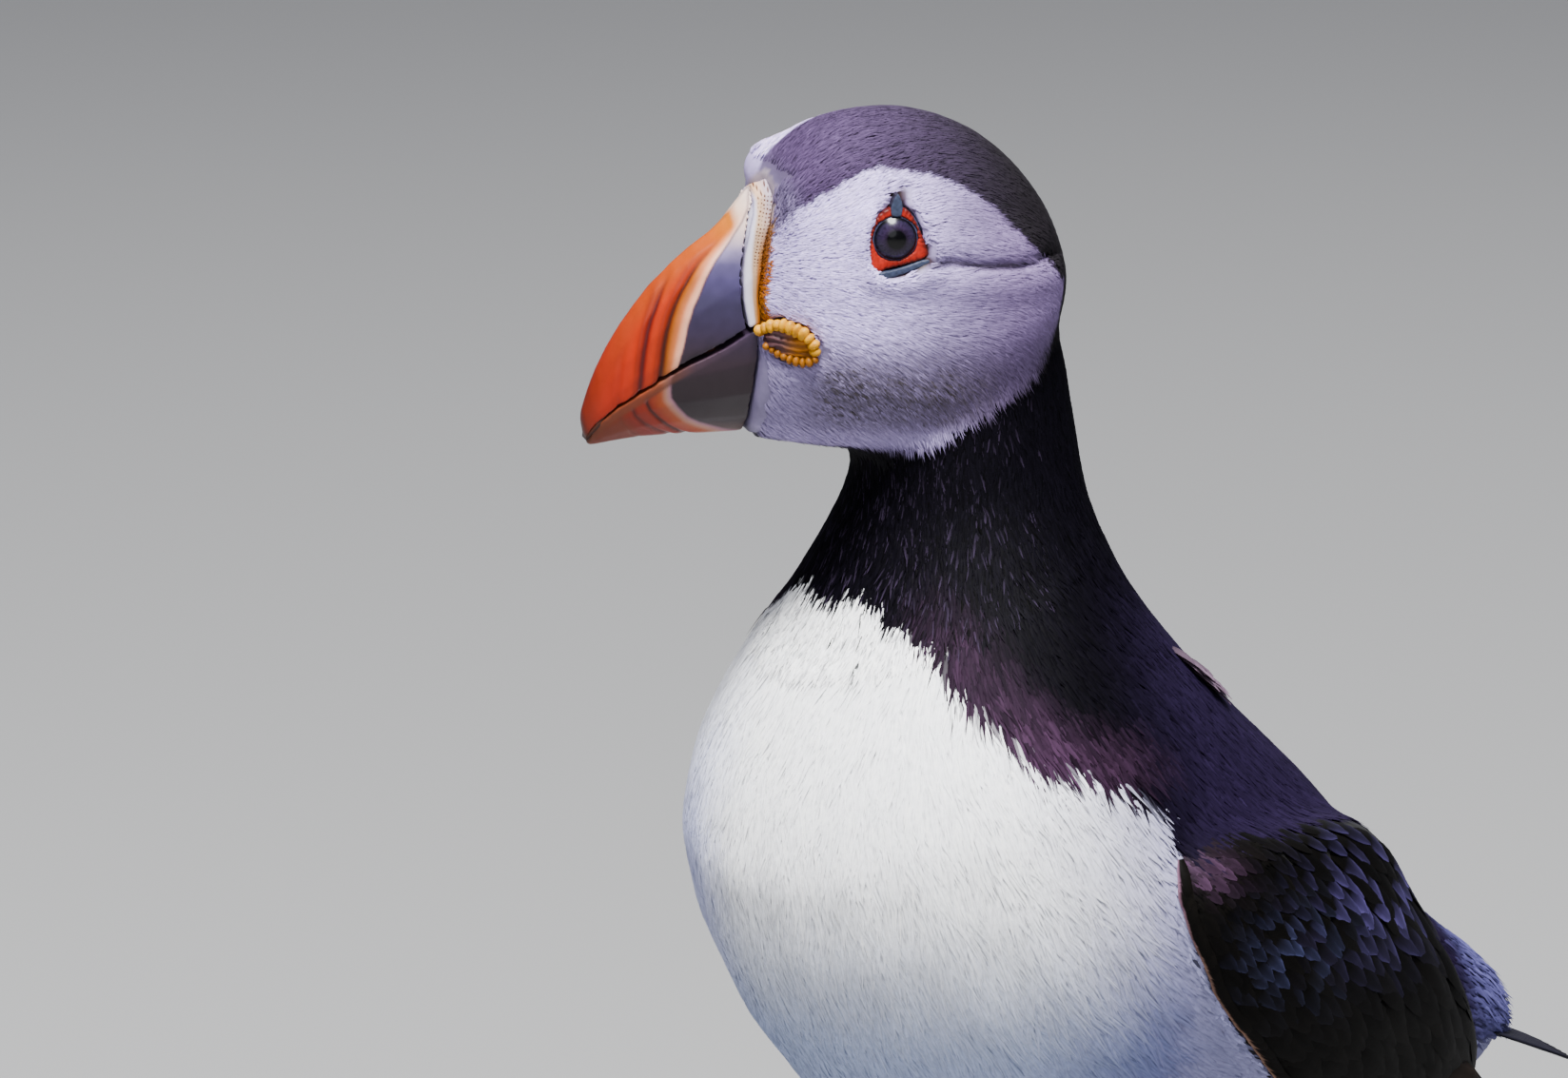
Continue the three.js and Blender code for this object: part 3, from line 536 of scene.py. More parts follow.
# outlines seen from the side: front and up in mm, on the head's ruler or the body's
CHEEK = [
    (23, -1), (18, -0.6), (17.4, 0.7), (16.8, 2), (15.6, 3.9), (13.6, 5.6), (10.6, 7.3), (7.5, 8.9),
    (5, 10.1), (1.8, 10.6), (-2, 10.2), (-6.6, 9.2), (-11.3, 7.4), (-16.1, 4.2), (-20, 0.6),
    (-23.3, -2.9), (-26.9, -6.5), (-30.3, -11), (-29.6, -18.4), (-24.6, -25.4), (-18.3, -30.5),
    (-10.5, -35), (-4.8, -36.6), (2.5, -36.6), (10, -36.4), (23, -35.6),
]
FAR_CHEEK = [
    (25, -1), (22, 2), (20, 7), (18.5, 10), (16.5, 12.6), (13.8, 14.8), (10.2, 16.2), (6, 16.6),
    (0, 15), (-7, 11), *CHEEK[12:],
]
# on the far side the cap ends this far from the middle line, at these places along it
CAP_EDGE_LEFT = [11, 8.5, 6, 4.3, 4.1, 3.6, 3.0, 2.7, 2.8, 0.5]
CAP_EDGE_FRONT = [-6, 0, 5, 8.7, 10.3, 12.5, 14.7, 16.4, 17.5, 19.4]
DARK_COAT = [
    (60, 141), (26, 141.5), (21.2, 141), (20.1, 138.3), (18.1, 133.7), (15.8, 127.4), (12.2, 121.3),
    (5.3, 117.6), (-3.4, 115.2), (-6.1, 111.9), (-8.8, 107.1), (-11.3, 103.1), (-16, 95), (-30, 82),
    (-60, 66), (-85, 56), (-104, 51), (-140, 46), (-140, 260), (60, 260),
]
EYE_PATCH = [  # the bare skin round the eye
    (0.6, 10.2), (-0.2, 7.2), (-1.8, 4.2), (-3.6, 0.9), (-4.6, -3.2), (-5.0, -5.0), (-0.4, -6.4),
    (3.9, -7.2), (4.8, -4.6), (4.7, -1.6), (4.4, 1.6), (3.2, 4.4), (1.6, 7.2),
]
LEADING_EDGE = [  # the front edge of the folded wing, on the body
    (-12, 101), (-12.3, 95), (-13.3, 90), (-15.5, 84.6), (-18.6, 78.1), (-24.3, 70.5), (-37.2, 57),
    (-50, 47),
]
EYELID_DARK = paint_colour("2a1014")
LEG_ORANGE = paint_colour("a6320c")
CAP = paint_colour("433352")
NAPE = paint_colour("100c11")
CHEEK_PALE = paint_colour("c3b2e9")
CHEEK_GREY = paint_colour("7e6a96")
OLIVE = paint_colour("353022")
FRINGE = paint_colour("a596c6")
COLLAR = paint_colour("050408")
COLLAR_DUSK = paint_colour("382438")
BREAST = paint_colour("f4f5f8")
FLANK_PAINTED_SHADE = paint_colour("6c669c")
MANTLE = paint_colour("181125")
WING_BROWN = paint_colour("060504")
WRIST = paint_colour("463046")
RUMP_PAINTED_SHEEN = paint_colour("4c4a78")


def plumage(points, parts, blur=0.3):
    """The coat's colour at some points. blur, in mm, softens the edges between patches."""
    head, body = to_head(points), to_body(points)
    side_head, side_body = head[:, 1:], body[:, 1:]
    # the head: cheeks between a cap and a dark nape
    stripe_edge = np.interp(head[:, 1], CAP_EDGE_FRONT, CAP_EDGE_LEFT)
    far_edge = np.minimum(inside(side_head, FAR_CHEEK), -head[:, 0] - stripe_edge)
    cheek_edge = np.where(head[:, 0] > 0, inside(side_head, CHEEK), far_edge)
    pale = ramp(cheek_edge + 0.2 * ripple(points, 2.2, 5), -blur, blur)
    cap = blend_colours(CAP, NAPE, ramp(-head[:, 1], -15, 25) ** 0.7)
    cap = blend_colours(cap, CHEEK_PALE * 0.7, 0.75 * near(side_head, (18.2, 4.4), (2.6, 3.6)))
    cheek = blend_colours(CHEEK_PALE, CHEEK_GREY, ramp(-head[:, 1], -8, 22))
    # painted shade: the cheek darkens towards its lower edge and in patches behind and below the eye
    shade = 0.55 * ramp(-head[:, 2], 12, 25) + 0.24 * near(side_head, (-22, -5), (10, 13))
    shade = shade + 0.18 * near(side_head, (-9, -13), (8, 7)) + 0.36 * near(side_head, (-13, 3), (7, 4))
    cheek = cheek * (1 - shade[:, None])
    stain = stripe(head[:, 2] + 26, 7.4) * ramp(head[:, 1], -24, -6) * ramp(-head[:, 1], -17, -8)
    stain = stain * (0.54 + 0.3 * near(side_head, (9, -23), (4, 4)))
    cheek = blend_colours(cheek, OLIVE, np.clip(stain * (1 + 0.8 * ripple(points, 0.6, 9)), 0, 0.9))
    cheek = blend_colours(cheek, FRINGE, ramp(-head[:, 2], 31, 34.5) * 0.75)
    # painted shade: a dark olive line in the furrow, where the face feathers part
    cheek = blend_colours(cheek, OLIVE, 0.6 * stripe(off_line(side_head, FURROW), 0.55))
    chin = ramp(-np.abs(head[:, 0]), -7, -3) * ramp(-head[:, 2], 30, 35)
    under = ramp(-head[:, 2], 35.8, 37.6)
    face = blend_colours(blend_colours(cap, cheek, pale), COLLAR, np.maximum(under, 0.75 * chin))
    # the body: a dark collar, back and wings over a white front
    inner = inside(side_body, DARK_COAT)
    dark = ramp(inner + 0.9 * ripple(points, 7, 3), -blur, blur)
    collar = blend_colours(COLLAR, MANTLE, ramp(-body[:, 1], 0, 24) * ramp(-body[:, 2], -152, -128))
    dusk = ramp(-inner, -12, -2) * (0.45 + 0.55 * near(side_body, (9, 122), (10, 9)))
    dusk = dusk * ramp(body[:, 2], 113, 119)
    dusk = dusk * (0.75 + 0.35 * ripple(points, 3, 4)) * ramp(np.abs(body[:, 0]), 12, 26)
    collar = blend_colours(collar, COLLAR_DUSK, np.clip(dusk, 0, 1))
    # painted sheen: the black rump turns blue-grey, as if lit by the sky
    collar = blend_colours(collar, RUMP_PAINTED_SHEEN, ramp(-body[:, 1], 84, 93))
    # painted shade: the white front turns bluish grey towards the back, as white does in shade
    front = blend_colours(BREAST, FLANK_PAINTED_SHADE, ramp(-body[:, 1], -20, 12) * 0.78)
    # painted shade: the lower breast and belly are darker, as if less lit from above, less so further back
    low = ramp(-body[:, 2], -104, -68) * (1 - 0.5 * ramp(-body[:, 1], 5, 16))
    front = front * (1 - low[:, None] * [0.66, 0.6, 0.42])
    # painted shade: the breast's right side, turned away from the key light, is darker and bluer
    far_side_shade = near(side_body, (40, 100), (18, 24)) * ramp(-body[:, 0], -2, 18)
    front = front * (1 - far_side_shade[:, None] * [0.44, 0.42, 0.18])
    body_colour = blend_colours(front, collar, dark)
    wing = blend_colours(WING_BROWN, WRIST, 0.6 * near(side_body, (-15, 99), (5, 2.4)))
    ahead = ramp(past_line(side_body, LEADING_EDGE), 0.1, 0.5) * ramp(-body[:, 2], -102, -100)
    wing = blend_colours(wing, front, ahead)
    parts = np.asarray(parts)[:, None]
    return np.where(parts == "head", face, np.where(parts == "wing", wing, body_colour))


from_ring, from_bill = gap_to(corners, EYE_HORN), gap_to(corners, ["bill_cere"])
skin_colour = plumage(corners, part, 0.5)
bare_leg = relax(skin, 2, field=np.isin(part, ["shank", "foot"]).astype(float))
skin_colour = blend_colours(skin_colour * 0.72, LEG_ORANGE, bare_leg)
skin_colour = blend_colours(skin_colour, EYELID_DARK, ramp(-from_ring, -0.8, -0.3) * (part == "head"))
beside_saddle = stops(to_head(corners)[:, 2], SADDLE_EDGE)
saddle_band = ramp(-from_bill, -1.5, -1.1) * (part == "head")
skin_colour = blend_colours(skin_colour, beside_saddle, saddle_band)
mark(skin, "plumage", skin_colour)
mark(skin, "bare", bare_leg)
print("cap, cheek and body colours laid on", len(corners), "corners of skin")

# %% [markdown]
# ## Feather and skin finishes
# A feather is matt, with a faint gleam. The colours come from the marks kept on each corner, so one
# recipe serves every coat: only the roughness, the gleam and the grain differ. The skin takes the same
# marks, with a net of fine scales where it is bare.

# %% Materials for the coat and the skin
def feed(tree, node, inputs):
    """Fills a node's inputs. Each is a value, or another node with the name of its output."""
    for socket, value in inputs.items():
        if isinstance(value, tuple) and isinstance(value[0], bpy.types.Node):
            tree.links.new(value[0].outputs[value[1]], node.inputs[socket])
        else:
            node.inputs[socket].default_value = value


def put(tree, kind, inputs=None, **settings):
    """Adds a node of some kind to a tree."""
    node = tree.nodes.new(kind)
    for name, value in settings.items():
        setattr(node, name, value)
    feed(tree, node, inputs or {})
    return node


def new_material(name, looks):
    """A material, its node tree and its shader, filled with some looks."""
    material = bpy.data.materials.new(name)
    material.use_nodes = True
    tree = material.node_tree
    feed(tree, tree.nodes["Principled BSDF"], looks)
    return material, tree, tree.nodes["Principled BSDF"]


def scaled_by(tree, colour, noise, window, strength):
    """A colour made darker and lighter by a noise."""
    limits = dict(zip(("From Min", "From Max", "To Min", "To Max"), window + strength))
    shade = put(tree, "ShaderNodeMapRange", {"Value": (noise, "Fac"), **limits})
    inputs = {0: (colour, "Color"), "Scale": (shade, "Result")}
    return put(tree, "ShaderNodeVectorMath", inputs, operation="SCALE")


def grained_material(name, marks, looks, grain, detail, strength, bump, depth):
    """Takes its colour from the marks on the corners, with a fine grain in tone and relief."""
    material, tree, shader = new_material(name, looks)
    colour = put(tree, "ShaderNodeAttribute", attribute_name=marks)
    place = put(tree, "ShaderNodeTexCoord")
    noise = put(tree, "ShaderNodeTexNoise", {"Vector": (place, "Object"), "Scale": grain, "Detail": detail})
    tone = scaled_by(tree, colour, noise, (0, 1), strength)
    relief = put(tree, "ShaderNodeBump", {"Height": (noise, "Fac"), "Strength": bump, "Distance": depth})
    feed(tree, shader, {"Base Color": (tone, "Vector"), "Normal": (relief, "Normal")})
    return material


def coat_material(name, roughness, gleam, grain):
    looks = {"Roughness": roughness, "Specular IOR Level": gleam}
    return grained_material(name, "plumage", looks, grain, 3, (0.82, 1.18), 0.25, 0.0001)


COATS = {  # roughness, gleam and grain
    "face_feather_coat": (0.8, 0.15, 1400),
    "black_feather_coat": (0.6, 0.03, 1100),
    "white_feather_coat": (0.85, 0.15, 900),
    "wing_feather_coat": (0.55, 0.05, 1100),
}
MATERIALS = {name: coat_material(name, *look) for name, look in COATS.items()}


def finish_piece(piece, slot, material, *stands_for):
    """Dresses a piece and ties it to the bird."""
    piece.data.materials.clear()
    piece.data.materials.append(MATERIALS[material])
    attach(piece, "root")
    if stands_for:
        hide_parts(*stands_for)


def scaly_skin():
    """Feathered skin is dull; bare legs are orange with a net of tiny scales."""
    material = coat_material("skin", 0.6, 0.5, 900)
    tree = material.node_tree
    place = put(tree, "ShaderNodeTexCoord")
    inputs = {"Vector": (place, "Object"), "Scale": 900}
    scales = put(tree, "ShaderNodeTexVoronoi", inputs, feature="DISTANCE_TO_EDGE")
    seams = put(tree, "ShaderNodeMapRange", {"Value": (scales, "Distance"), "From Max": 0.12})
    bare = put(tree, "ShaderNodeAttribute", attribute_name="bare")
    strength = put(tree, "ShaderNodeMath", {0: (bare, "Fac"), 1: (seams, "Result")}, operation="MULTIPLY")
    inputs = {"Height": (strength, "Value"), "Strength": 0.8, "Distance": 0.00015}
    bump = put(tree, "ShaderNodeBump", inputs)
    feed(tree, tree.nodes["Principled BSDF"], {"Normal": (bump, "Normal")})
    return material


MATERIALS["skin"] = scaly_skin()
finish_piece(skin, "white_feather", "skin", *FLESH)
print("finishes:", sorted(MATERIALS))

# %% [markdown]
# ## Growing a coat
# Body feathers are too many to place by hand. Each small tuft here is a narrow blade with a raised
# spine, seven corners and six faces. It is rooted at a random spot, follows the lie of the coat along
# the skin in two steps, and ends in a point a little above the skin, so that the tufts overlap like
# thatch. Particle hair would be quicker to set up, but only a real mesh keeps its shape in every program.

# %% The blade-laying machine
dice = np.random.default_rng(7)
# a blade's corners are three at the root, three halfway and the tip: left, spine, right
TRIANGLES_IN_BLADE = [(0, 1, 4), (0, 4, 3), (1, 2, 5), (1, 5, 4), (3, 4, 6), (4, 5, 6)]
FLAT_BLADE = np.array([(-0.5, -0.5), (0, -0.5), (0.5, -0.5), (-0.5, 0), (0, 0), (0.5, 0), (0, 0.5)])
PATCH = 0.003  # the size of one tuft on the OFBake map


def unwrap(points, parts):
    """A flat map of the skin: longitude and latitude round the middle of the head or of the body."""
    head, body = to_head(points) - [0, -4, -12], to_body(points) - [0, -25, 85]
    globe = unit(np.where((np.asarray(parts) == "head")[:, None], head, body))
    longitude = np.arctan2(globe[:, 0], globe[:, 1]) / (2 * math.pi) + 0.5
    latitude = np.arcsin(np.clip(globe[:, 2], -1, 1)) / math.pi + 0.5
    return np.stack([longitude, latitude], axis=1) * (1 - 2 * PATCH) + PATCH


def settle(points):
    """The nearest points of the skin, and the faces they lie on."""
    hits = [skin_tree.find_nearest(point) for point in points.tolist()]
    return np.array([hit[0][:] for hit in hits]), np.array([hit[2] for hit in hits])


def roots_on(chance):
    """Random roots, with `chance` tufts to a square mm of each face."""
    wanted = face_area * chance
    count = np.floor(wanted + dice.random(len(wanted))).astype(int)
    faces = np.repeat(np.arange(len(wanted)), count)
    u, v = dice.random((2, len(faces), 1))
    a, b, c, d = (corners[first_four[faces, k]] for k in range(4))
    return (a * (1 - u) + b * u) * (1 - v) + (d * (1 - u) + c * u) * v, faces


def map_patches(piece, spots, flat, corner_of_loop):
    """Gives each feather a small patch of the OFBake map, at its root's place on the skin's flat map."""
    places = (spots[:, None, :] + flat[None] * PATCH).reshape(-1, 2)[corner_of_loop]
    layer = piece.data.uv_layers.new(name="OFBake")
    layer.data.foreach_set("uv", places.astype(np.float32).ravel())


def turned(ways, normals, degrees):
    angle = np.radians(degrees)[:, None]
    return ways * np.cos(angle) + np.cross(normals, ways) * np.sin(angle)


def grow_coat(name, slot, chance, length, width, lift, yaw=8, spine=0.35, cling=0.95, fray=0.4, vary=0.12,
              tip=1.25, tip_colour=None, tip_share=0.0, wave=0.0, crisp=False):
    """length, width, lift and fray are in mm; the first three may be one number or one for each face of the
    skin. yaw is the random turn in degrees. A crisp coat takes its colours along each tuft; otherwise a tuft
    keeps the colour of its root."""
    root, face = roots_on(chance)
    count = len(root)
    pick = lambda value: np.broadcast_to(value, len(face_area))[face] * 1.0
    long = pick(length) * dice.uniform(0.75, 1.25, count)
    half = pick(width) * dice.uniform(0.8, 1.2, count) / 2
    high = pick(lift) * dice.uniform(0.6, 1.4, count)
    normal = face_normal[face]
    bend = yaw * dice.normal(size=count) + wave * ripple(root, 9, 21)
    heading = turned(face_way[face], normal, bend)
    middle, middle_face = settle(root + heading * (long * 0.5 * MM)[:, None])
    middle_normal = face_normal[middle_face]
    heading2 = unit(turned(face_way[middle_face], middle_normal, bend) + heading)
    straight = middle + heading2 * (long * 0.5 * MM)[:, None]
    end, end_face = settle(straight)
    end = end * cling + straight * (1 - cling)
    end_normal = unit(face_normal[end_face] * cling + middle_normal * (1 - cling))
    rows = [
        (root, normal, heading, -0.3 * np.ones(count), 0.55),
        (middle, middle_normal, unit(end - root), high * 0.7, 1),
    ]
    places = np.empty((count, 7, 3))
    for ring, (place, up, along, height, share) in enumerate(rows):
        side = unit(np.cross(up, along)) * (half * share * MM)[:, None]
        base = place + up * (height * MM)[:, None]
        places[:, ring * 3] = base + side
        places[:, ring * 3 + 1] = base + up * (half * spine * share * MM)[:, None]
        places[:, ring * 3 + 2] = base - side
    places[:, 6] = end + end_normal * (high * MM)[:, None]
    faces = (np.arange(count)[:, None, None] * 7 + np.array(TRIANGLES_IN_BLADE)).reshape(-1, 3)
    piece = make_mesh(name, places.reshape(-1, 3), faces)
    stray = dice.normal(size=(count, 3)) * fray * MM
    seen_at = [root + stray, middle + stray, end + stray] if crisp else [root + stray]
    stations = np.stack([plumage(place, face_part[face]) for place in seen_at], axis=1)
    colour = stations[:, [0, 0, 0, 1, 1, 1, 2] if crisp else [0] * 7]
    # painted shade and light: dark at the root under the neighbouring tufts, a lighter spine, and the tip
    # lightened by tip
    shades = np.array([0.5, 0.64, 0.5, 0.9, 1.08, 0.9, tip])
    colour = np.clip(colour * shades[None, :, None] * (1 + vary * dice.normal(size=(count, 1, 1))), 0, 1)
    if tip_colour is not None:
        share = (dice.random(count) < pick(tip_share)) * dice.uniform(0.4, 1, count)
        for corner, part_of_tip in ((6, 1.0), (4, 0.3)):
            colour[:, corner] = blend_colours(colour[:, corner], tip_colour, share * part_of_tip)
    mark(piece, "plumage", colour.reshape(-1, 3))
    map_patches(piece, unwrap(root, face_part[face]), FLAT_BLADE, faces.ravel())
    finish_piece(piece, slot, f"{slot}_coat")
    print(name, count, "tufts,", len(faces), "triangles")
    return piece


# %% [markdown]
# ## The bill
# The bill is bone under a sheath of horn. Three plates of horn meet in fine seams: a cream saddle where
# the bill meets the face, a slate blue plate, and a big orange tip crossed by dark grooves. Each half
# is cast from its solids, rounded off, and then pressed with the seams and grooves. The colour of each
# corner comes from how far along the row of seams it lies, so paint and relief can't drift apart.

# %% Tools for horn
def band_of(distances):
    """0 on the first seam, 1 on the second and so on, even steps between; negative behind the first."""
    band = np.where(distances[0] < 0, distances[0] / 10, 0)
    for k, (rear, front) in enumerate(zip(distances, distances[1:])):
        between = (rear >= 0) & (front < 0)
        band = np.where(between, k + rear / np.maximum(rear - front, 1e-6), band)
    last = distances[-1]
    return np.where(last >= 0, len(distances) - 1 + last / 6, band)


def cast(name, nodes, voxel, swell, rounds):
    shape_corners, shape_faces = joined_solids(nodes, swell)
    piece = remeshed(name, shape_corners, shape_faces, voxel)
    set_corners(piece, relax(piece, rounds))
    set_corners(piece, corners_of(piece) - normals_of(piece) * swell)
    return piece


def horn_material(name, roughness=0.42, coat=0.06, grain=700, bump=0.12):
    looks = {"Roughness": roughness, "Coat Weight": coat, "Coat Roughness": 0.2, "Specular IOR Level": 0.22}
    return grained_material(name, "paint", looks, grain, 4, (0.88, 1.12), bump, 0.0002)


MATERIALS["horn"] = horn_material("horn")
MATERIALS["flesh"] = horn_material("flesh", roughness=0.5, coat=0.05, grain=2600, bump=0.3)
print("horn and bare flesh are ready")

# %% The upper bill: slate plate and orange tip
# lines on the bill seen from the side: front and up on the head's ruler
PLATE_SEAM = [
    (20.4, 5.6), (21.6, 2.6), (22.7, 0.7), (24.2, -1.3), (25.5, -3.2), (27.2, -5.7), (28.5, -8.2),
    (29.5, -10.6), (30.7, -13.1), (31.6, -16.2), (32.0, -18.5), (32.6, -20.9), (33.1, -23.5),
    (33.4, -27),
]
GROOVES = [[
    (22.6, 3.2), (24.4, 0.6), (26.5, -2), (28.2, -4), (29.9, -5.9), (31.3, -8.1), (32.5, -10.3),
    (33.5, -12.6), (34.3, -14.8), (34.9, -17.1), (35.4, -20.2), (35.7, -23.3), (35.7, -28),
], [
    (28.5, -2), (31, -4.3), (33.9, -7.1), (35.1, -9.2), (35.8, -10.7), (36.6, -12.8), (37.4, -15.1),
    (37.9, -17.3), (38.4, -20.4), (38.7, -23.5), (38.8, -26.4), (38.7, -31),
], [
    (33, -6), (37, -10.5), (39.5, -14.8), (41.1, -18.5), (41.8, -22.2), (42.1, -25.3), (42.2, -27.7),
    (41.8, -33),
]]
CULMEN = [
    (17.8, 6.4), (20.1, 5.7), (24.1, 2), (28.1, -1.7), (32.9, -5.2), (37.9, -10.9), (41.3, -15.7),
    (44.6, -23), (46.4, -27.5), (47.3, -33.1), (47.2, -35.4), (46.1, -36.5),
]
MOUTH = [
    (19, -14.6), (22.3, -16.8), (24.6, -18.5), (27.5, -20.3), (30.5, -22.1), (33.1, -23.7),
    (35.6, -25.5), (37.7, -27.2), (40.5, -29.4), (43.3, -31.4), (45.3, -33.8), (46.4, -35.6),
]


def paint_upper(marks):
    """Colour, and relief in mm, of the upper bill at some marks of the head's ruler."""
    side = marks[:, 1:]
    seams = [past_line(side, line) for line in [PLATE_SEAM] + GROOVES]
    band = band_of(seams)
    drop = off_line(side, CULMEN)
    lip = off_line(side, MOUTH)
    up = side[:, 1]
    colour = stops(band, [
        (0, "d29c86"), (0.28, "cf8a68"), (0.48, "aa5b2e"), (0.75, "8d4808"), (0.92, "8b3d05"),
        (1.15, "962502"), (2, "9c2200"), (3, "9c1e00"), (4.6, "761d0c"),
    ])
    # high up, the pale stripe stays pale and runs on into bright orange
    # high up, the pale stripe stays pale and runs on into bright orange
    high_colour = stops(band, [
        (0, "e7c4b9"), (0.45, "df9878"), (0.75, "d37844"), (0.97, "9c3e0d"), (1.2, "982a00"),
        (3, "942400"),
    ])
    colour = blend_colours(colour, high_colour, ramp(up, -9, -1))
    ridge_colour = stops(side[:, 0], [
        (20.7, "e0c7be"), (23, "d9b8a3"), (24.4, "ae6111"), (28, "9b4400"), (36, "963500"),
        (44, "852108"), (47, "621c0d"),
    ])
    colour = blend_colours(colour, ridge_colour, ramp(-drop, -3.2, -0.4) * ramp(band, -0.05, 0.05))
    slate = stops(up, [
        (-24, "2a1f23"), (-20, "2a1f2a"), (-16, "2b2338"), (-12, "2f2942"), (-8.5, "3c3458"),
        (-6, "4c4468"), (-3.8, "7a6e90"), (-2, "a8949c"), (0, "d2b6ac"), (3, "e0c7be"),
    ])
    slate = slate * (1 + 0.06 * ripple(from_head(marks), 2.5, 8))[:, None]
    on_slate = ramp(-seams[0], -0.08, 0.08)
    colour = blend_colours(colour, slate, on_slate)
    relief = -0.12 * on_slate
    colour = blend_colours(colour, paint_colour("422a39"), 0.7 * stripe(seams[0], 0.16))
    strengths = [ramp(-up, 2, 9), ramp(-up, 6, 13), 0.35 * ramp(-up, 17, 24)]
    width = 0.3 + 0.28 * ramp(-up, 8, 20)
    # painted shade: a dark line in each groove and a dark red band beside it, where the groove's hollow lies
    # in shade
    for line, strength, dark in zip(seams[1:], strengths, ("200708", "340d11", "651806")):
        colour = blend_colours(colour, paint_colour(dark), 0.95 * strength * stripe(line, width))
        colour = blend_colours(colour, paint_colour("631805"), 0.55 * strength * stripe(line - 0.9, 0.4))
        relief = relief - 0.34 * strength * stripe(line, 0.42) + 0.1 * strength * stripe(line - 1.0, 0.5)
    warm_lip = 0.7 * ramp(-lip, -0.7, -0.25) * ramp(band, -0.2, 0.6)
    slate_lip = 0.6 * ramp(-lip, -0.8, -0.3) * ramp(-band, -0.3, 0.1)
    colour = blend_colours(colour, paint_colour("5e2d1a"), warm_lip)
    colour = blend_colours(colour, paint_colour("382932"), slate_lip)
    colour = blend_colours(colour, paint_colour("2d110a"), 0.5 * ramp(-up, 33.5, 36))
    return colour, relief


BILL_VOXEL, BILL_SWELL, BILL_ROUNDS = 0.3 * MM, 0.2 * MM, 5
RIDGE_DROP = [(20, 0), (25, 1.1), (32, 1.0), (40, 0.7), (46, 0.1)]  # front, and how much lower it lies
RIDGE_WAY = unit(np.array([0, 0.79, 0.62])) @ HEAD_AXES


def cast_bill(half, paint_half):
    """Casts one half of the bill and paints it. Its relief is pressed in later."""
    solids = [f"bill_{half}_plate", f"bill_{half}_tip"]
    piece = cast(f"bill_{half}", solids, BILL_VOXEL, BILL_SWELL, BILL_ROUNDS)
    marks = to_head(corners_of(piece))
    paint, relief = paint_half(marks)
    mark(piece, "paint", np.clip(paint, 0, 1))
    finish_piece(piece, "orange_horn", "horn", *solids)
    print(half, "bill:", len(paint), "corners, deepest groove", round(float(relief.min()), 2), "mm")
    return piece, marks, relief


upper_bill, marks, relief = cast_bill("upper", paint_upper)
lowered = np.interp(marks[:, 1], *zip(*RIDGE_DROP)) * stripe(past_line(marks[:, 1:], CULMEN), 3.2)
set_corners(upper_bill, corners_of(upper_bill) - RIDGE_WAY * (lowered * MM)[:, None])
push_out(upper_bill, relief)

# %% The lower bill
LOW_SEAM = [
    (33.8, -24), (34, -25.5), (33.9, -27), (33.7, -28.2), (32.5, -29.8), (30.6, -31.8), (28.4, -33.1),
    (26.1, -34), (24, -34.8), (20, -35.7),
]
LOW_GROOVES = [
    [(37.7, -26.8), (37.5, -29.2), (36.8, -30.5), (35.3, -32), (33.4, -33.7), (31.4, -35), (28, -36.8)],
    [(40.3, -29), (39.8, -30.1), (39.1, -31.5), (37.3, -33.1), (35, -34.6), (33.2, -35.4), (30.5, -37)],
    [(42.4, -30.4), (41.8, -31.3), (40.8, -33.2), (38.9, -34.9), (36.5, -36.8)],
]


def paint_lower(marks):
    """The same for the lower bill."""
    side = marks[:, 1:]
    seams = [past_line(side, line) for line in [LOW_SEAM] + LOW_GROOVES]
    band = band_of(seams)
    lip = off_line(side, MOUTH)
    up = side[:, 1]
    colour = stops(band, [
        (0, "986c7d"), (0.22, "a6735e"), (0.42, "98441c"), (0.8, "88280a"), (1.4, "811f08"),
        (2.4, "761d0a"), (3, "6c2a15"), (4.6, "5c2a1a"),
    ])
    slate = stops(up, [
        (-36, "6a5650"), (-34.8, "51413f"), (-33, "2e2226"), (-30, "261b20"), (-26, "2a1e24"),
        (-22, "2d2029"), (-17, "302438"),
    ])
    on_slate = ramp(-seams[0], -0.25, 0.25)
    colour = blend_colours(colour, slate, on_slate)
    relief = -0.1 * on_slate
    # painted shade: a dark line along each groove, where its hollow lies in shade
    for line, strength, dark in zip(seams[1:], (1, 0.8, 0.3), ("270a0a", "40120c", "53200f")):
        strength = strength * ramp(lip, 0.6, 1.8)
        colour = blend_colours(colour, paint_colour(dark), 0.9 * strength * stripe(line, 0.3))
        relief = relief - 0.3 * strength * stripe(line, 0.4)
    lip_colour = stops(side[:, 0], [
        (22, "342739"), (30, "3c2a34"), (34, "512e21"), (38, "6e351e"), (46, "5e2d1a"),
    ])
    colour = blend_colours(colour, lip_colour, 0.85 * ramp(-lip, -1.5, -0.9))
    return colour, relief


lower_bill, _, relief = cast_bill("lower", paint_lower)
push_out(lower_bill, relief)

# %% [markdown]
# ## The lining of the mouth
# The jaws close with a hair's gap. A thin tongue of skin between them keeps daylight out; it is painted
# dark, as the shade inside the closed gap.

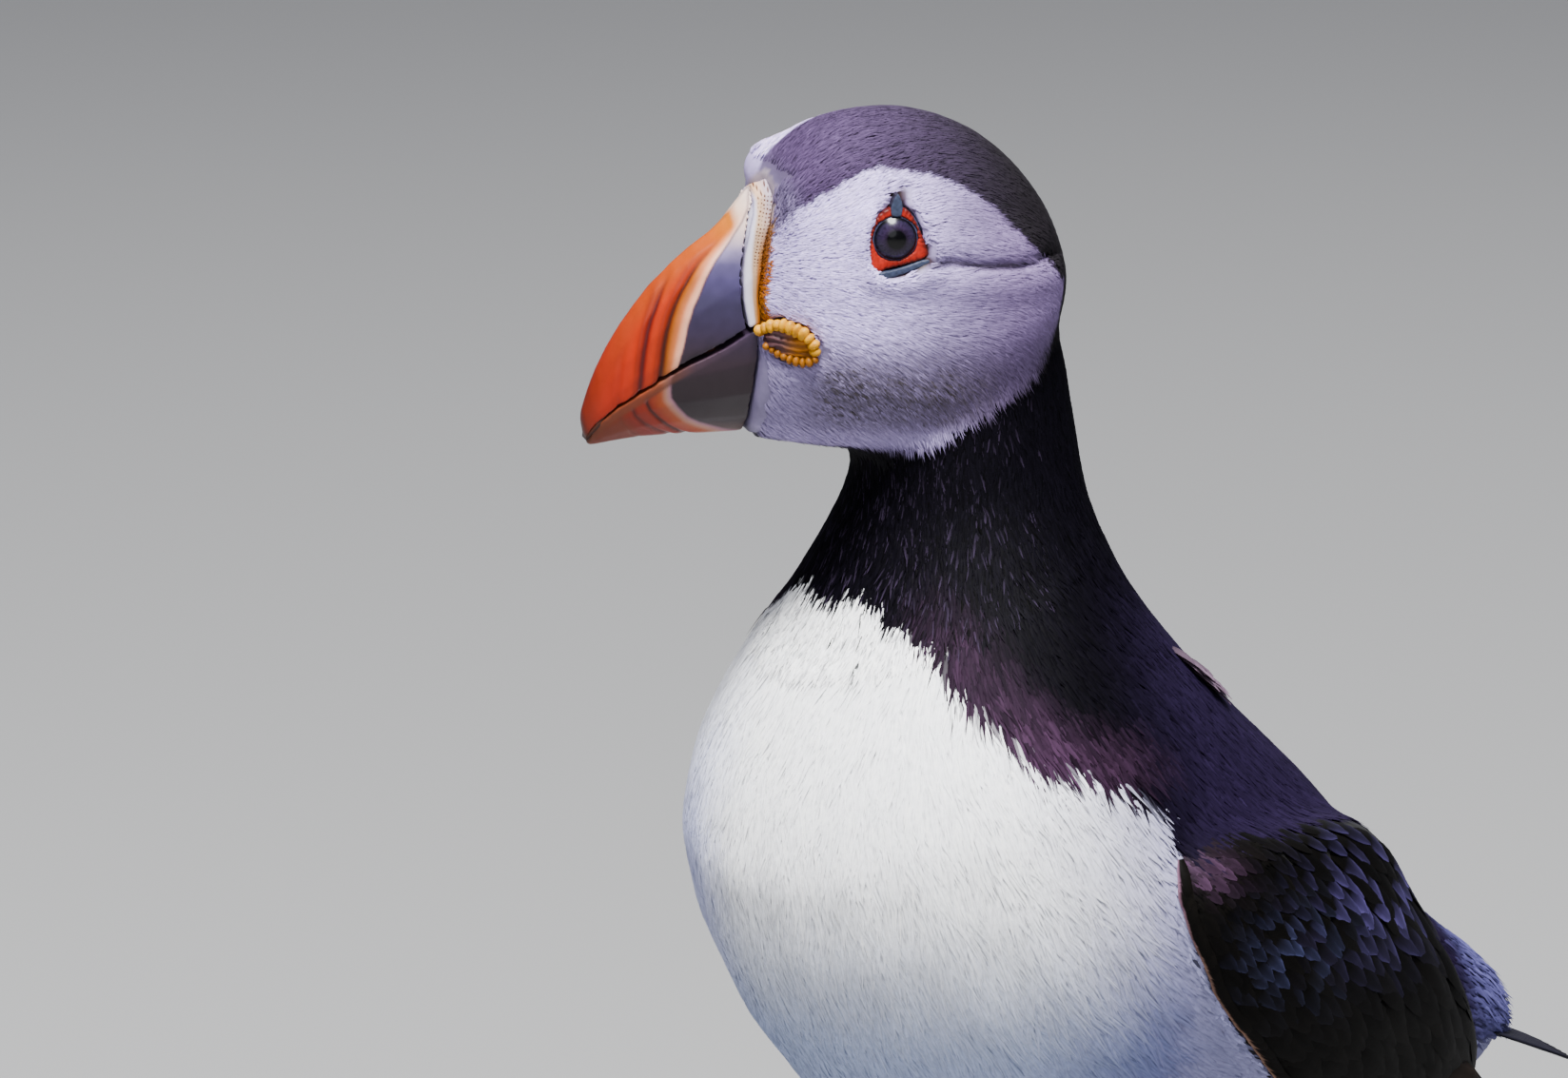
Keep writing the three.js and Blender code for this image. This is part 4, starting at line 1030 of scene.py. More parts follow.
# %% Fill the gap between the jaws
gape_line = smooth_line(MOUTH, 26)
bill_tree = surface_tree(*joined_solids(["bill_upper_plate", "bill_upper_tip"], 0))
half_width = []
for spot in gape_line:
    hit = bill_tree.ray_cast(Vector(from_head((20, spot[0], spot[1] + 0.7))), Vector(-HEAD_LEFT))[0]
    half_width.append(to_head(hit)[0] - 0.03 if hit else 0.25)
half_width = np.array(half_width)
for _ in range(3):  # evens out the row
    half_width[1:-1] = (half_width[:-2] + 2 * half_width[1:-1] + half_width[2:]) / 4
rails = [gape_line + [0, drop] for drop in (0.45, 0.45, -0.45, -0.45)]
lefts = [half_width, -half_width, half_width, -half_width]
lining_corners = from_head(np.concatenate([np.c_[left, rail] for left, rail in zip(lefts, rails)]))
n = len(gape_line)
lining_faces = []
for k in range(n - 1):
    a, b, c, d = (r * n + k for r in (0, 1, 3, 2))  # top left, top right, bottom right, bottom left
    for p, q in ((a, b), (b, c), (c, d), (d, a)):
        lining_faces.append((p, p + 1, q + 1, q))
lining_faces += [(0, n, 3 * n, 2 * n), (n - 1, 3 * n - 1, 4 * n - 1, 2 * n - 1)]
lining = make_mesh("mouth_lining", lining_corners, lining_faces)
# painted shade: the lining is dark brown, as the gap between the jaws looks in shade
mark(lining, "paint", np.tile(paint_colour("3a1c12"), (4 * n, 1)))
finish_piece(lining, "orange_horn", "flesh")
print("mouth lining:", len(lining_faces), "faces")

# %% [markdown]
# ## The saddle of the bill
# A cream cushion of soft horn sits between bill and face. Its front is smooth. Its upper rear half is
# dotted with tiny pits in rows, and a fringe of stiff orange bristles grows where it meets the feathers.

# %% The cream saddle
SADDLE_FRONT = [
    (20.7, 6.4), (20.4, 3.8), (20.7, 1.9), (21.4, -0.2), (22, -2.4), (22.5, -4.6), (22.8, -6.8),
    (22.9, -9.1), (22.8, -11.6), (22.4, -14), (21.6, -18),
]
SADDLE_REAR = [
    (16, 6.9), (17, 4.6), (17.6, 2.1), (18.1, 0.4), (18.8, -1.9), (19.4, -4.2), (19.8, -6.4),
    (20, -8.6), (20.2, -10.7), (20.2, -13.3), (20, -17),
]
saddle = cast("bill_saddle", ["bill_cere"], 0.22 * MM, 0.1 * MM, 5)
marks = to_head(corners_of(saddle))
ahead, behind = (off_line(marks[:, 1:], line) for line in (SADDLE_FRONT, SADDLE_REAR))
share = ahead / np.maximum(ahead + behind, 1e-6)
up = marks[:, 2]
reach = np.clip(share / 0.82, 0, 1)
cream_end = np.interp(up, [-13, -8, -4, 0, 5], [0.6, 0.52, 0.38, 0.22, 0.08])
cream = stops(reach, [(0, "716882"), (0.06, "b1aac0"), (0.16, "c4becf"), (0.5, "c0bac4")])
tan = stops(up, [(-14, "9d703d"), (-8, "a07f61"), (0, "b6987d"), (5, "be997b")])
paint = blend_colours(cream, tan, ramp(reach, cream_end - 0.08, cream_end + 0.14))
paint = blend_colours(paint, stops(up, SADDLE_EDGE), ramp(reach, cream_end + 0.22, 0.92))
mark(saddle, "paint", paint)
push_out(saddle, 0.16 * stripe(share - 0.2, 0.2) - 0.1 * stripe(share - 0.5, 0.08))
pitted = ramp(reach, cream_end + 0.05, cream_end + 0.2) * ramp(up, -9, -4)
mark(saddle, "pitted", pitted)
mark(saddle, "pit_place", np.c_[behind, up * 1.02 + np.abs(marks[:, 0]) * 0.4, np.zeros(len(marks))])


def saddle_material():
    """Horn with rows of tiny dark pits where the pitted mark says so."""
    material = horn_material("saddle", roughness=0.5, coat=0.0)
    tree = material.node_tree
    shader = tree.nodes["Principled BSDF"]
    plain = shader.inputs["Base Color"].links[0].from_node
    place = put(tree, "ShaderNodeAttribute", attribute_name="pit_place")
    mask = put(tree, "ShaderNodeAttribute", attribute_name="pitted")
    pits = put(tree, "ShaderNodeTexVoronoi", {"Vector": (place, "Vector"), "Scale": 2.1, "Randomness": 0.25})
    hole = put(tree, "ShaderNodeMapRange", {"Value": (pits, "Distance"), "From Min": 0.34, "From Max": 0.16})
    depth = put(tree, "ShaderNodeMath", {0: (hole, "Result"), 1: (mask, "Fac")}, operation="MULTIPLY")
    inputs = {"Factor": (depth, "Value"), 6: (plain, "Vector"), 7: (*paint_colour("512a15"), 1)}
    colour = put(tree, "ShaderNodeMix", inputs, data_type="RGBA")
    inputs = {"Height": (depth, "Value"), "Strength": 0.6, "Distance": 0.0002}
    relief = put(tree, "ShaderNodeBump", inputs, invert=True)
    feed(tree, shader, {"Base Color": (colour, 2), "Normal": (relief, "Normal")})
    return material


MATERIALS["saddle"] = saddle_material()
finish_piece(saddle, "pale_horn", "saddle", "bill_cere")
print("saddle:", len(paint), "corners")

# %% [markdown]
# ## The coat, region by region
# Feathers are shortest on the face and longest on the flanks. Each region is one or two pieces, so
# that none grows too heavy.

# %% Sow the coat
head_left, front_of_face, face_up = head_of_face.T
head_side = np.abs(head_left)
body_left, body_front, body_up = body_of_face.T
beside_ring = gap_to(face_middle, EYE_HORN) < 0.3
from_saddle = gap_to(face_middle, ["bill_cere"])
from_low_plate = gap_to(face_middle, ["bill_lower_plate"])
beside_bill = (from_saddle < np.where(face_up > 0, 0.3, 0.9)) | (from_low_plate < 0.3)
eye_patch = (head_side > 8) & ((inside(seen_head, EYE_PATCH) > 0.9) | beside_ring)
before_rear = (front_of_face > 12) & (past_line(seen_head, SADDLE_REAR) > 0.3)
bill_seat = before_rear & (face_up > -36) & (face_up < 8) | beside_bill
gape = np.linalg.norm((np.c_[head_side, seen_head] - [14.2, 16.3, -17.5]) / [7, 4.5, 2.3], axis=1)
on_head = (face_part == "head") & ~(eye_patch | bill_seat | (gape < 1))
cheek_edge = inside(seen_head, CHEEK)
is_cheek = on_head & (cheek_edge > -0.4) & (face_up > -37.2)
is_cap = on_head & ~is_cheek
in_crease = (off_line(seen_head, FURROW) < 1.3) & (head_side > 5)

face_length = np.where(in_crease, 1.6, 2.6 + 2.0 * ramp(-front_of_face, -14, 16))
low_cheek = ramp(-face_up, 28, 36)
face_length = face_length * (0.5 + 0.5 * np.maximum(ramp(np.abs(cheek_edge), 0.2, 2.6), low_cheek))
before_eye = inside(seen_head - [2.2, 0], EYE_PATCH) > -0.3  # these would lie across the eye's cushions
face_length = np.where(before_eye & (head_side > 8), np.minimum(face_length, 1.3), face_length)
cheek_lift = np.where(in_crease, 0.12, 0.3 + 0.5 * low_cheek)
for side, sign in MIRROR:
    chance = np.where(is_cheek & (head_left * sign > 0), 12.5, 0)
    grow_coat(f"coat_cheek_{side}", "face_feather", chance, face_length, 0.36, cheek_lift, fray=0.12,
              vary=0.13, tip=1.1, crisp=True)
grow_coat("coat_cap", "face_feather", np.where(is_cap, 11, 0), face_length * 0.95, 0.34, 0.34, fray=0.1,
          vary=0.2, tip=1.5, crisp=True)

NECK_GLINT = paint_colour("382e42")
glinting = 0.13 * ramp(body_front, -6, 12) * ramp(body_up, 132, 146)
neck_lift = 0.15 + 0.3 * ramp(-body_up, -160, -148)
for side, sign in MIRROR:
    chance = np.where((face_part == "neck") & (body_left * sign > 0), 6, 0)
    grow_coat(f"coat_neck_{side}", "black_feather", chance, 5.2, 0.6, neck_lift, yaw=10, spine=0.5,
              cling=0.9, fray=0.5, vary=0.35, tip=1.5, tip_colour=NECK_GLINT, tip_share=glinting, wave=8)

dark_body = inside(seen_body, DARK_COAT)
body_parts = np.isin(face_part, ["torso", "rump"])
low_front = body_front > -6
white = body_parts & (dark_body < 0.3)
to_wing = off_line(seen_body, LEADING_EDGE)
front_length = np.where(np.abs(body_left) > 22, np.minimum(9.5, 1.5 + 0.8 * to_wing), 9.5)
front_lift = 0.5 * np.clip(front_length / 9.5, 0.25, 1)
for side, sign in MIRROR:
    chance = np.where(white & low_front & (body_left * sign > 0), 3.0, 0)
    grow_coat(f"coat_breast_{side}", "white_feather", chance, front_length, 0.7, front_lift, fray=0.5,
              vary=0.05, tip=1.04, wave=10)
chance = np.where((white & ~low_front) | (face_part == "thigh"), 2.0, 0)
grow_coat("coat_belly", "white_feather", chance, front_length, 0.9, front_lift, yaw=9, fray=0.5, vary=0.06,
          tip=1.04, wave=10)
at_edge = ramp(-dark_body, -4, 0) * low_front
at_rump = near(np.c_[np.abs(body_left), seen_body], (11, -95, 60), (12, 9, 13))
chance = np.where(body_parts & (dark_body >= 0.3), 2.6, 0)
grow_coat("coat_back", "black_feather", chance, 7 + 4 * at_rump + 2 * at_edge, 0.9 - 0.25 * at_edge,
          0.4 + 2.2 * at_rump + 0.4 * at_edge, spine=0.4, cling=0.92, vary=0.2)
chance = np.where((face_part == "wing") & (to_wing < 15), 4.5, 0)
grow_coat("coat_wrist", "wing_feather", chance, 3.6, 0.8, 0.35, spine=0.4, cling=1.0, fray=0.15, vary=0.25,
          tip=1.3, crisp=True)


def bristles():
    """Stiff orange bristles in the seam between the saddle and the feathers."""
    seam = (face_part == "head") & (from_saddle > 0.1) & (from_saddle < 1.2) & (front_of_face > 14)
    chance = np.where(seam, 12 * ramp(-face_up, -1.5, 2.5), 0)
    piece = grow_coat("saddle_bristles", "face_feather", chance, 1.5, 0.24, 0.36, yaw=12, spine=0.6,
                      cling=0.6)
    at = to_head(corners_of(piece))[:, 2]
    gold = stops(at, [(-16, "b87408"), (-8, "a85a08"), (-3, "96561c"), (2, "8c6038"), (5, "8c6a50")])
    # painted shade and light: each bristle is dark at its root, lighter along its spine and at its tip
    shade = np.tile([0.45, 0.6, 0.45, 0.9, 1.1, 0.9, 1.3], len(at) // 7)
    tone = np.c_[np.clip(gold * shade[:, None], 0, 1), np.ones(len(at))].astype(np.float32)
    piece.data.attributes["plumage"].data.foreach_set("color", tone.ravel())


bristles()
coats = [piece for piece in bpy.data.objects if piece.name.startswith("coat")]
print("tufts so far:", sum(len(piece.data.polygons) for piece in coats) // len(TRIANGLES_IN_BLADE))

# %% [markdown]
# ## The eyes
# The eyeball is a dark, wet ball with a violet brown iris round a black pupil. Around it is a ring of
# bare red skin, three cornered, with a beaded edge. Two slate cushions rest on the ring: a pointed one
# standing above the eye and a bar below it.

# %% Eyeballs
EYE_RADIUS, IRIS, PUPIL = 5.2, 3.36, 1.5  # radii in mm
WINDOW_BULGE = 0.035  # the clear window stands out a little
EYE_OUT = {side: unit(np.array([0.978 * sign, 0.155, 0.139])) for side, sign in MIRROR}
EYE_BACK = {side: unit(np.array([0.156 * sign, -0.988, 0.0])) for side, sign in MIRROR}


def eye_axes(side):
    """Outward, back and up for an eye, as the rows of an array."""
    out = EYE_OUT[side] @ HEAD_AXES
    back = unit(EYE_BACK[side] @ HEAD_AXES)
    up = np.cross(back, out)
    return np.stack([out, back, up if up[2] > 0 else -up])


def ball(side):
    """An eyeball of rings round its axis, with a corner at the front and one at the back."""
    out, back, up = eye_axes(side)
    around, rows = 64, 40
    tilt = np.linspace(0, math.pi, rows + 1)[1:-1]
    turn = np.linspace(0, 2 * math.pi, around, endpoint=False)
    radial = np.sin(tilt)[:, None] * np.ones(around)
    height = np.cos(tilt)[:, None] * np.ones(around)
    bulge = 1 + WINDOW_BULGE * ramp(height, 0.72, 1)
    dirs = np.stack([radial * np.cos(turn), radial * np.sin(turn), height * bulge], axis=2).reshape(-1, 3)
    dirs = np.concatenate([dirs, [[0, 0, 1 + WINDOW_BULGE], [0, 0, -1]]])
    reach = dirs[:, :1] * back + dirs[:, 1:2] * up + dirs[:, 2:] * out
    places = EYE_MIDDLE[side] + reach * EYE_RADIUS * MM
    step = np.arange(around)
    after = (step + 1) % around
    rings = np.arange(len(tilt) - 1)[:, None] * around
    a, b = (rings + step).ravel(), (rings + after).ravel()
    front, rear = np.full(around, len(dirs) - 2), np.full(around, len(dirs) - 1)
    last = (len(tilt) - 1) * around
    caps = np.stack([np.c_[front, step, after], np.c_[rear, last + after, last + step]], axis=1)
    bands = [np.c_[a, a + around, b + around], np.c_[a, b + around, b]]
    triangles = np.concatenate([*bands, caps.reshape(-1, 3)])
    first, second, third = places[triangles[0]]
    if np.cross(second - first, third - first) @ (first - EYE_MIDDLE[side]) < 0:
        triangles = triangles[:, ::-1]
    piece = make_mesh(f"eyeball_{side}", places, triangles)
    radial_mm = np.linalg.norm(dirs[:, :2], axis=1) * EYE_RADIUS
    mark(piece, "radial", np.where(dirs[:, 2] > 0, radial_mm, 9))
    mark(piece, "spoke", np.arctan2(dirs[:, 1], dirs[:, 0]))
    finish_piece(piece, "eye", "eyeball", f"eye_{side}")


def ramp_of(node, table):
    """Fills a Color Ramp from (place, colour code) rows."""
    elements = node.color_ramp.elements
    while len(elements) > 1:
        elements.remove(elements[-1])
    for k, (place, code) in enumerate(table):
        element = elements[0] if k == 0 else elements.new(place)
        element.position = place
        element.color = (*paint_colour(code), 1)


EYE_COLOURS = [  # distance from the middle of the pupil in mm
    (0, "010101"), (PUPIL - 0.06, "020203"), (PUPIL + 0.1, "170f1c"), (2.2, "251a30"), (2.9, "211a2e"),
    (3.1, "14101e"), (3.2, "050408"), (IRIS + 0.05, "050408"), (IRIS + 0.2, "40435c"), (3.9, "4a4e68"),
    (4.2, "30344a"),
]


def eye_material():
    """Rings of colour round the pupil, crossed by fine spokes, under a wet coat."""
    looks = {"Roughness": 0.25, "Specular IOR Level": 0.15, "Coat Weight": 0.22, "Coat Roughness": 0.03}
    material, tree, shader = new_material("eyeball", looks)
    radial = put(tree, "ShaderNodeAttribute", attribute_name="radial")
    share = put(tree, "ShaderNodeMath", {0: (radial, "Fac"), 1: EYE_RADIUS}, operation="DIVIDE")
    rings = put(tree, "ShaderNodeValToRGB", {"Fac": (share, "Value")})
    ramp_of(rings, [(distance / EYE_RADIUS, code) for distance, code in EYE_COLOURS])
    spoke = put(tree, "ShaderNodeAttribute", attribute_name="spoke")
    place = put(tree, "ShaderNodeCombineXYZ", {"X": (spoke, "Fac"), "Y": (share, "Value")})
    streaks = put(tree, "ShaderNodeTexNoise", {"Vector": (place, "Vector"), "Scale": 9, "Detail": 4})
    tone = scaled_by(tree, rings, streaks, (0.3, 0.7), (0.55, 1.5))
    feed(tree, shader, {"Base Color": (tone, "Vector")})
    return material


MATERIALS["eyeball"] = eye_material()
for side in SIDES:
    ball(side)
print("eyeballs", 2 * EYE_RADIUS, "mm across, iris", 2 * IRIS, "mm")

# %% Rings and cushions round the eyes
RING_EDGE = [  # back and up from the middle of the eye
    (-0.9, 4.9), (1.2, 4.9), (2.6, 3.8), (4.3, 0.4), (5.4, -3.0), (1.0, -4.4), (-3.9, -5.3),
    (-4.3, -2.4), (-4.1, 1.0), (-2.7, 3.8),
]
# the ring's reds, by distance in mm from its edge
RING_REDS = [(-0.2, "2e0806"), (0.15, "5c0f06"), (0.5, "8e1404"), (1.2, "981806"), (2.5, "8c1404")]
INNER_EDGE = 3.55  # the ring's opening, in mm from the middle of the eye


def to_eye(points, side):
    return (np.asarray(points) - EYE_MIDDLE[side]) @ eye_axes(side).T / MM


# how each cushion is stretched and moved: outward, back and up
CUSHION_FIT = {"upper": ([1, 0.82, 0.85], [0, 0, -0.75]), "lower": ([1, 1.12, 1.1], [0.15, -0.7, 0.35])}


def cast_cushion(side, place):
    """The upper cushion's foot is tucked into the ring. The lower one reaches a little forward."""
    solid = f"eye_plate_{place}_{side}"
    cushion = cast(f"eye_cushion_{place}_{side}", [solid], 0.14 * MM, 0.03 * MM, 9)
    stretch, shift = CUSHION_FIT[place]
    spread = to_eye(corners_of(cushion), side) * stretch + shift
    if place == "lower":
        spread[:, 0] += 0.7 * ramp(-spread[:, 1], -1.5, 3)
    set_corners(cushion, EYE_MIDDLE[side] + spread @ eye_axes(side) * MM)
    out, _, up = eye_axes(side)
    tone = paint_colour("32394e") * (0.92 + 0.16 * ripple(corners_of(cushion), 0.7, 6))[:, None]
    # painted shade: faces of a cushion that turn away from outside the head, and for the lower cushion from
    # above too, are painted nearly black
    facing = normals_of(cushion) @ (out if place == "upper" else (out + up) / math.sqrt(2))
    tone = blend_colours(tone, paint_colour("0c0a12"), ramp(-facing, -0.75, -0.3))
    mark(cushion, "paint", np.clip(tone, 0, 1))
    finish_piece(cushion, "slate_horn", "flesh", solid)


for side in SIDES:
    ring = cast(f"eye_rim_{side}", [f"eye_ring_{side}"], 0.16 * MM, 0.04 * MM, 5)
    eye_marks = to_eye(corners_of(ring), side)
    from_edge = inside(eye_marks[:, 1:], RING_EDGE)
    pull = near(eye_marks[:, 1:], (-3.9, -4.8), (1.8, 1.6))  # the front corner hangs lowest
    down = np.array([0.35, -0.2, -0.7]) @ eye_axes(side)
    set_corners(ring, corners_of(ring) + (pull * MM)[:, None] * down)
    from_ball = np.linalg.norm(eye_marks[:, 1:], axis=1) - INNER_EDGE
    around = np.arctan2(eye_marks[:, 2], eye_marks[:, 1])
    red = stops(from_edge, RING_REDS)
    red = blend_colours(red, paint_colour("a8482c"), 0.4 * stripe(from_ball - 0.15, 0.14))
    red = red * (1 + 0.12 * ripple(corners_of(ring), 0.8, 3))[:, None]
    mark(ring, "paint", np.clip(red, 0, 1))
    lobes = 0.12 * np.abs(np.sin(around * 17 + 0.8 * np.sin(around * 5))) * stripe(from_edge - 0.15, 0.5)
    puff = 0.15 * stripe(from_edge - 1.0, 0.8)
    push_out(ring, lobes + puff)
    finish_piece(ring, "red_ring", "flesh", f"eye_ring_{side}")
    for place in ("upper", "lower"):
        cast_cushion(side, place)
print("eye rings and cushions cast on both sides")

# %% [markdown]
# ## The yellow rosettes
# At each corner of the mouth is a fleshy rosette: a curved row of yellow lobes over dark, folded skin.
# A row like this is quick to lay with geometry nodes. The line is cut into equal steps and one bead is
# set at each step, turned along the line and a little different in size.

# %% A tree that strings beads on a line
def new_tree(name, made, sockets):
    """An empty geometry tree with named inputs: the tree, its input node and the key of each input."""
    tree = bpy.data.node_groups.new(name, "GeometryNodeTree")
    keys = {}
    for label, kind in sockets.items():
        socket = tree.interface.new_socket(label, in_out="INPUT", socket_type=f"NodeSocket{kind}")
        keys[label] = socket.identifier
    tree.interface.new_socket(made, in_out="OUTPUT", socket_type="NodeSocketGeometry")
    return tree, put(tree, "NodeGroupInput"), keys


def close_tree(tree, laid, material):
    """Makes the copies real, smooths and paints them, and hands them on."""
    real = put(tree, "GeometryNodeRealizeInstances", {"Geometry": (laid, "Instances")})
    smooth = put(tree, "GeometryNodeSetShadeSmooth", {"Geometry": (real, "Geometry")})
    paint = put(tree, "GeometryNodeSetMaterial", {"Geometry": (smooth, "Geometry"), "Material": material})
    put(tree, "NodeGroupOutput", {0: (paint, "Geometry")})


def run_tree(holder, name, tree_and_keys, values):
    """Runs a tree on an object, which is used up, and keeps what it makes as a plain mesh."""
    modifier = holder.modifiers.new("grow", "NODES")
    modifier.node_group, keys = tree_and_keys
    for label, value in values.items():
        modifier[keys[label]] = value
    return made_by_modifiers(holder, name)


def bead_tree(name, material):
    tree, given, keys = new_tree(name, "Beads", {
        "Line": "Geometry", "Spacing": "Float", "Size": "Vector", "Unevenness": "Float", "Seed": "Int",
    })
    curve = put(tree, "GeometryNodeMeshToCurve", {"Mesh": (given, "Line")})
    inputs = {"Curve": (curve, "Curve"), "Length": (given, "Spacing")}
    cut = put(tree, "GeometryNodeResampleCurve", inputs, mode="LENGTH")
    bead = put(tree, "GeometryNodeMeshIcoSphere", {"Radius": 0.5, "Subdivisions": 3})
    tangent = put(tree, "GeometryNodeInputTangent")
    turn = put(tree, "FunctionNodeAlignRotationToVector", {"Vector": (tangent, "Tangent")}, axis="X")
    low = put(tree, "ShaderNodeMath", {0: 1, 1: (given, "Unevenness")}, operation="SUBTRACT")
    high = put(tree, "ShaderNodeMath", {0: 1, 1: (given, "Unevenness")}, operation="ADD")
    inputs = {"Min": (low, "Value"), "Max": (high, "Value"), "Seed": (given, "Seed")}
    chance = put(tree, "FunctionNodeRandomValue", inputs, data_type="FLOAT_VECTOR")
    inputs = {0: (chance, "Value"), 1: (given, "Size")}
    scale = put(tree, "ShaderNodeVectorMath", inputs, operation="MULTIPLY")
    laid = put(tree, "GeometryNodeInstanceOnPoints", {
        "Points": (cut, "Curve"), "Instance": (bead, "Mesh"), "Rotation": (turn, "Rotation"),
        "Scale": (scale, "Vector"),
    })
    close_tree(tree, laid, material)
    return tree, keys


def bead_row(name, line, beads, spacing, size, unevenness, seed):
    """Strings beads on a line. spacing and size are in mm."""
    thread = bpy.data.meshes.new(name + "_line")
    thread.from_pydata([tuple(p) for p in line], [(k, k + 1) for k in range(len(line) - 1)], [])
    return run_tree(new_object(name + "_line", thread), name, beads, {
        "Spacing": spacing * MM, "Size": [v * MM for v in size], "Unevenness": unevenness, "Seed": seed,
    })


ROSETTE_ARC = [  # left, front, up, along the crest of the lobes
    (9.6, 20.7, -16), (10.6, 19.9, -15.2), (11.9, 18.7, -14.5), (13.2, 17.7, -14.2),
    (14.4, 16.5, -14.5), (15.3, 15.4, -14.9), (15.9, 14.4, -15.6), (16.3, 13.7, -16.6),
    (16.3, 13.4, -17.8),
]
ROSETTE_FOOT = [
    (10.8, 19.8, -18.3), (12.2, 18.2, -19.2), (14.0, 16.5, -19.8), (15.5, 14.8, -19.9),
    (16.4, 13.3, -19.1),
]
ROSETTE_ROWS = {  # line, size of a lobe, colour
    "crest": (ROSETTE_ARC, (1.6, 2.0, 2.2), "c48800"),
    "foot": (ROSETTE_FOOT, (1.2, 1.5, 1.5), "8a5200"),
}
beads = bead_tree("beads_on_a_line", MATERIALS["flesh"])
for side, sign in MIRROR:
    for row_name, (arc, size, colour) in ROSETTE_ROWS.items():
        line = from_head(smooth_line(np.array(arc) * [sign, 1, 1], 40))
        row = bead_row(f"rosette_{row_name}_{side}", line, beads, 1.12, size, 0.16, 4)
        stained = 0.6 * ramp(-ripple(corners_of(row), 1.6, 4), 0.1, 1.0)
        mark(row, "paint", blend_colours(paint_colour(colour), paint_colour("8c5200"), stained))
        finish_piece(row, "yellow_skin", "flesh")
    pad = cast(f"rosette_pad_{side}", [f"rosette_{side}"], 0.22 * MM, 0.0, 10)
    pad_marks = to_head(corners_of(pad)) * [sign, 1, 1]
    folds = np.sin(pad_marks[:, 2] * 5.2 + 0.8 * ripple(corners_of(pad), 2.5, 2))
    push_out(pad, -0.12 + 0.2 * folds)
    inner_skin = 0.85 * ramp(pad_marks[:, 1], 15.5, 18.5)
    tone = blend_colours(paint_colour("a06008"), paint_colour("3c2c40"), inner_skin)
    # painted shade and light: the pad is darker in the troughs of its folds and lighter on their crests
    mark(pad, "paint", np.clip(tone * (1 + 0.25 * folds)[:, None], 0, 1))
    finish_piece(pad, "yellow_skin", "flesh", f"rosette_{side}")
print("rosettes laid at both corners of the mouth")

# %% [markdown]
# ## Vaned feathers
# Wings and tail carry true vanes: a shaft with a broad flat blade on each side, rounded at the end.
# `vanes` builds many at once from the stations that each one passes through. The coverts lie on the
# skin in rows like roof slates. The flight and tail feathers stand free, so they get an underside too.

# %% The vane maker
STATIONS = 6
OUTLINE_OF_VANE = np.array([0.5, 0.82, 1.0, 0.97, 0.74, 0.2])


def vanes(name, slot, material, places, ups, half_widths, colours, arch=0.16, thick=0.0, spots=None,
          rims=None):
    """places and ups are feathers x stations x 3; half_widths and colours give one value for each station.
    spots are the feathers' places on the OFBake map. rims are the colours of the two long edges."""
    count, stations = places.shape[:2]
    along = unit(np.gradient(places, axis=1))
    side = unit(np.cross(ups, along)) * half_widths[..., None]
    rise = ups * (half_widths * arch)[..., None]
    top = [places + side * share + rise * (1 - share**2) for share in (1, 0.5, 0, -0.5, -1)]
    if thick:
        top.append(places - ups * thick)
    ring = len(top)
    grid = np.stack(top, axis=2)
    spans = ring if thick else ring - 1
    faces = []
    for m in range(stations - 1):
        for r in range(spans):
            a, b = m * ring + r, m * ring + (r + 1) % ring
            faces.append((a, b, b + ring, a + ring))
    faces = np.array(faces)
    if thick:  # both ends are closed
        end = (stations - 1) * ring
        caps = [(0, 5, 4, 3), (0, 3, 2, 1)]
        caps += [(end + d, end + c, end + b, end + a) for a, b, c, d in caps]
        faces = np.concatenate([faces, caps])
    every = (np.arange(count)[:, None, None] * stations * ring + faces).reshape(-1, 4)
    every = np.concatenate([every[:, [0, 1, 2]], every[:, [0, 2, 3]]])
    piece = make_mesh(name, grid.reshape(-1, 3), every)
    shaft = np.array([0.86, 1.0, 0.72, 1.0, 0.86, 0.8])[:ring]
    paint = colours[:, :, None, :] * shaft[None, None, :, None]
    if rims is not None:
        paint[:, :, 0], paint[:, :, 4] = rims
    mark(piece, "plumage", np.clip(paint, 0, 1).reshape(-1, 3))
    if spots is not None:
        flat = np.stack(np.meshgrid(np.linspace(-0.5, 0.5, ring), np.linspace(-0.5, 0.5, stations)), axis=2)
        map_patches(piece, spots, flat.reshape(-1, 2), every.ravel())
    if material:
        finish_piece(piece, slot, material)
    print(name, count, "vanes,", len(every), "triangles")
    return piece


# %% [markdown]
# ## The wing coverts
# Rows of coverts run from the wrist to the trailing edge, small in front and long behind, each row
# lapping the next. Their tips carry painted violet and blue glints where they lie along the shoulder,
# and the feathers on the leading edge have worn, pale brown margins.

# %% Rows of coverts
WING_FLOW = unit(np.array([-0.74, -0.67]))
WING_ACROSS = np.array([WING_FLOW[1], -WING_FLOW[0]])
WRIST_START = np.array([-4.0, 104.0])  # forward and up, where the rows begin
# painted glints on the tips: colour, middle and spread of the patch, and how many of its feathers glint
TIP_GLINTS = [("7668b2", (-54, 91.5), (16, 7.5), 0.75), ("474b74", (-30, 85.5), (11, 6.5), 0.6)]


def on_wing(side_marks, sign):
    """Shoots each side-view point at the skin from outside; keeps those that land on the wing."""
    start = from_body(np.c_[np.full(len(side_marks), 80.0 * sign), side_marks])
    aim = Vector((-sign, 0, 0))
    shots = [skin_tree.ray_cast(Vector(point), aim) for point in start.tolist()]
    keep = [k for k, shot in enumerate(shots) if shot[0] is not None and face_part[shot[2]] == "wing"]
    return np.array([shots[k][0][:] for k in keep]), np.array([shots[k][2] for k in keep]), np.array(keep)


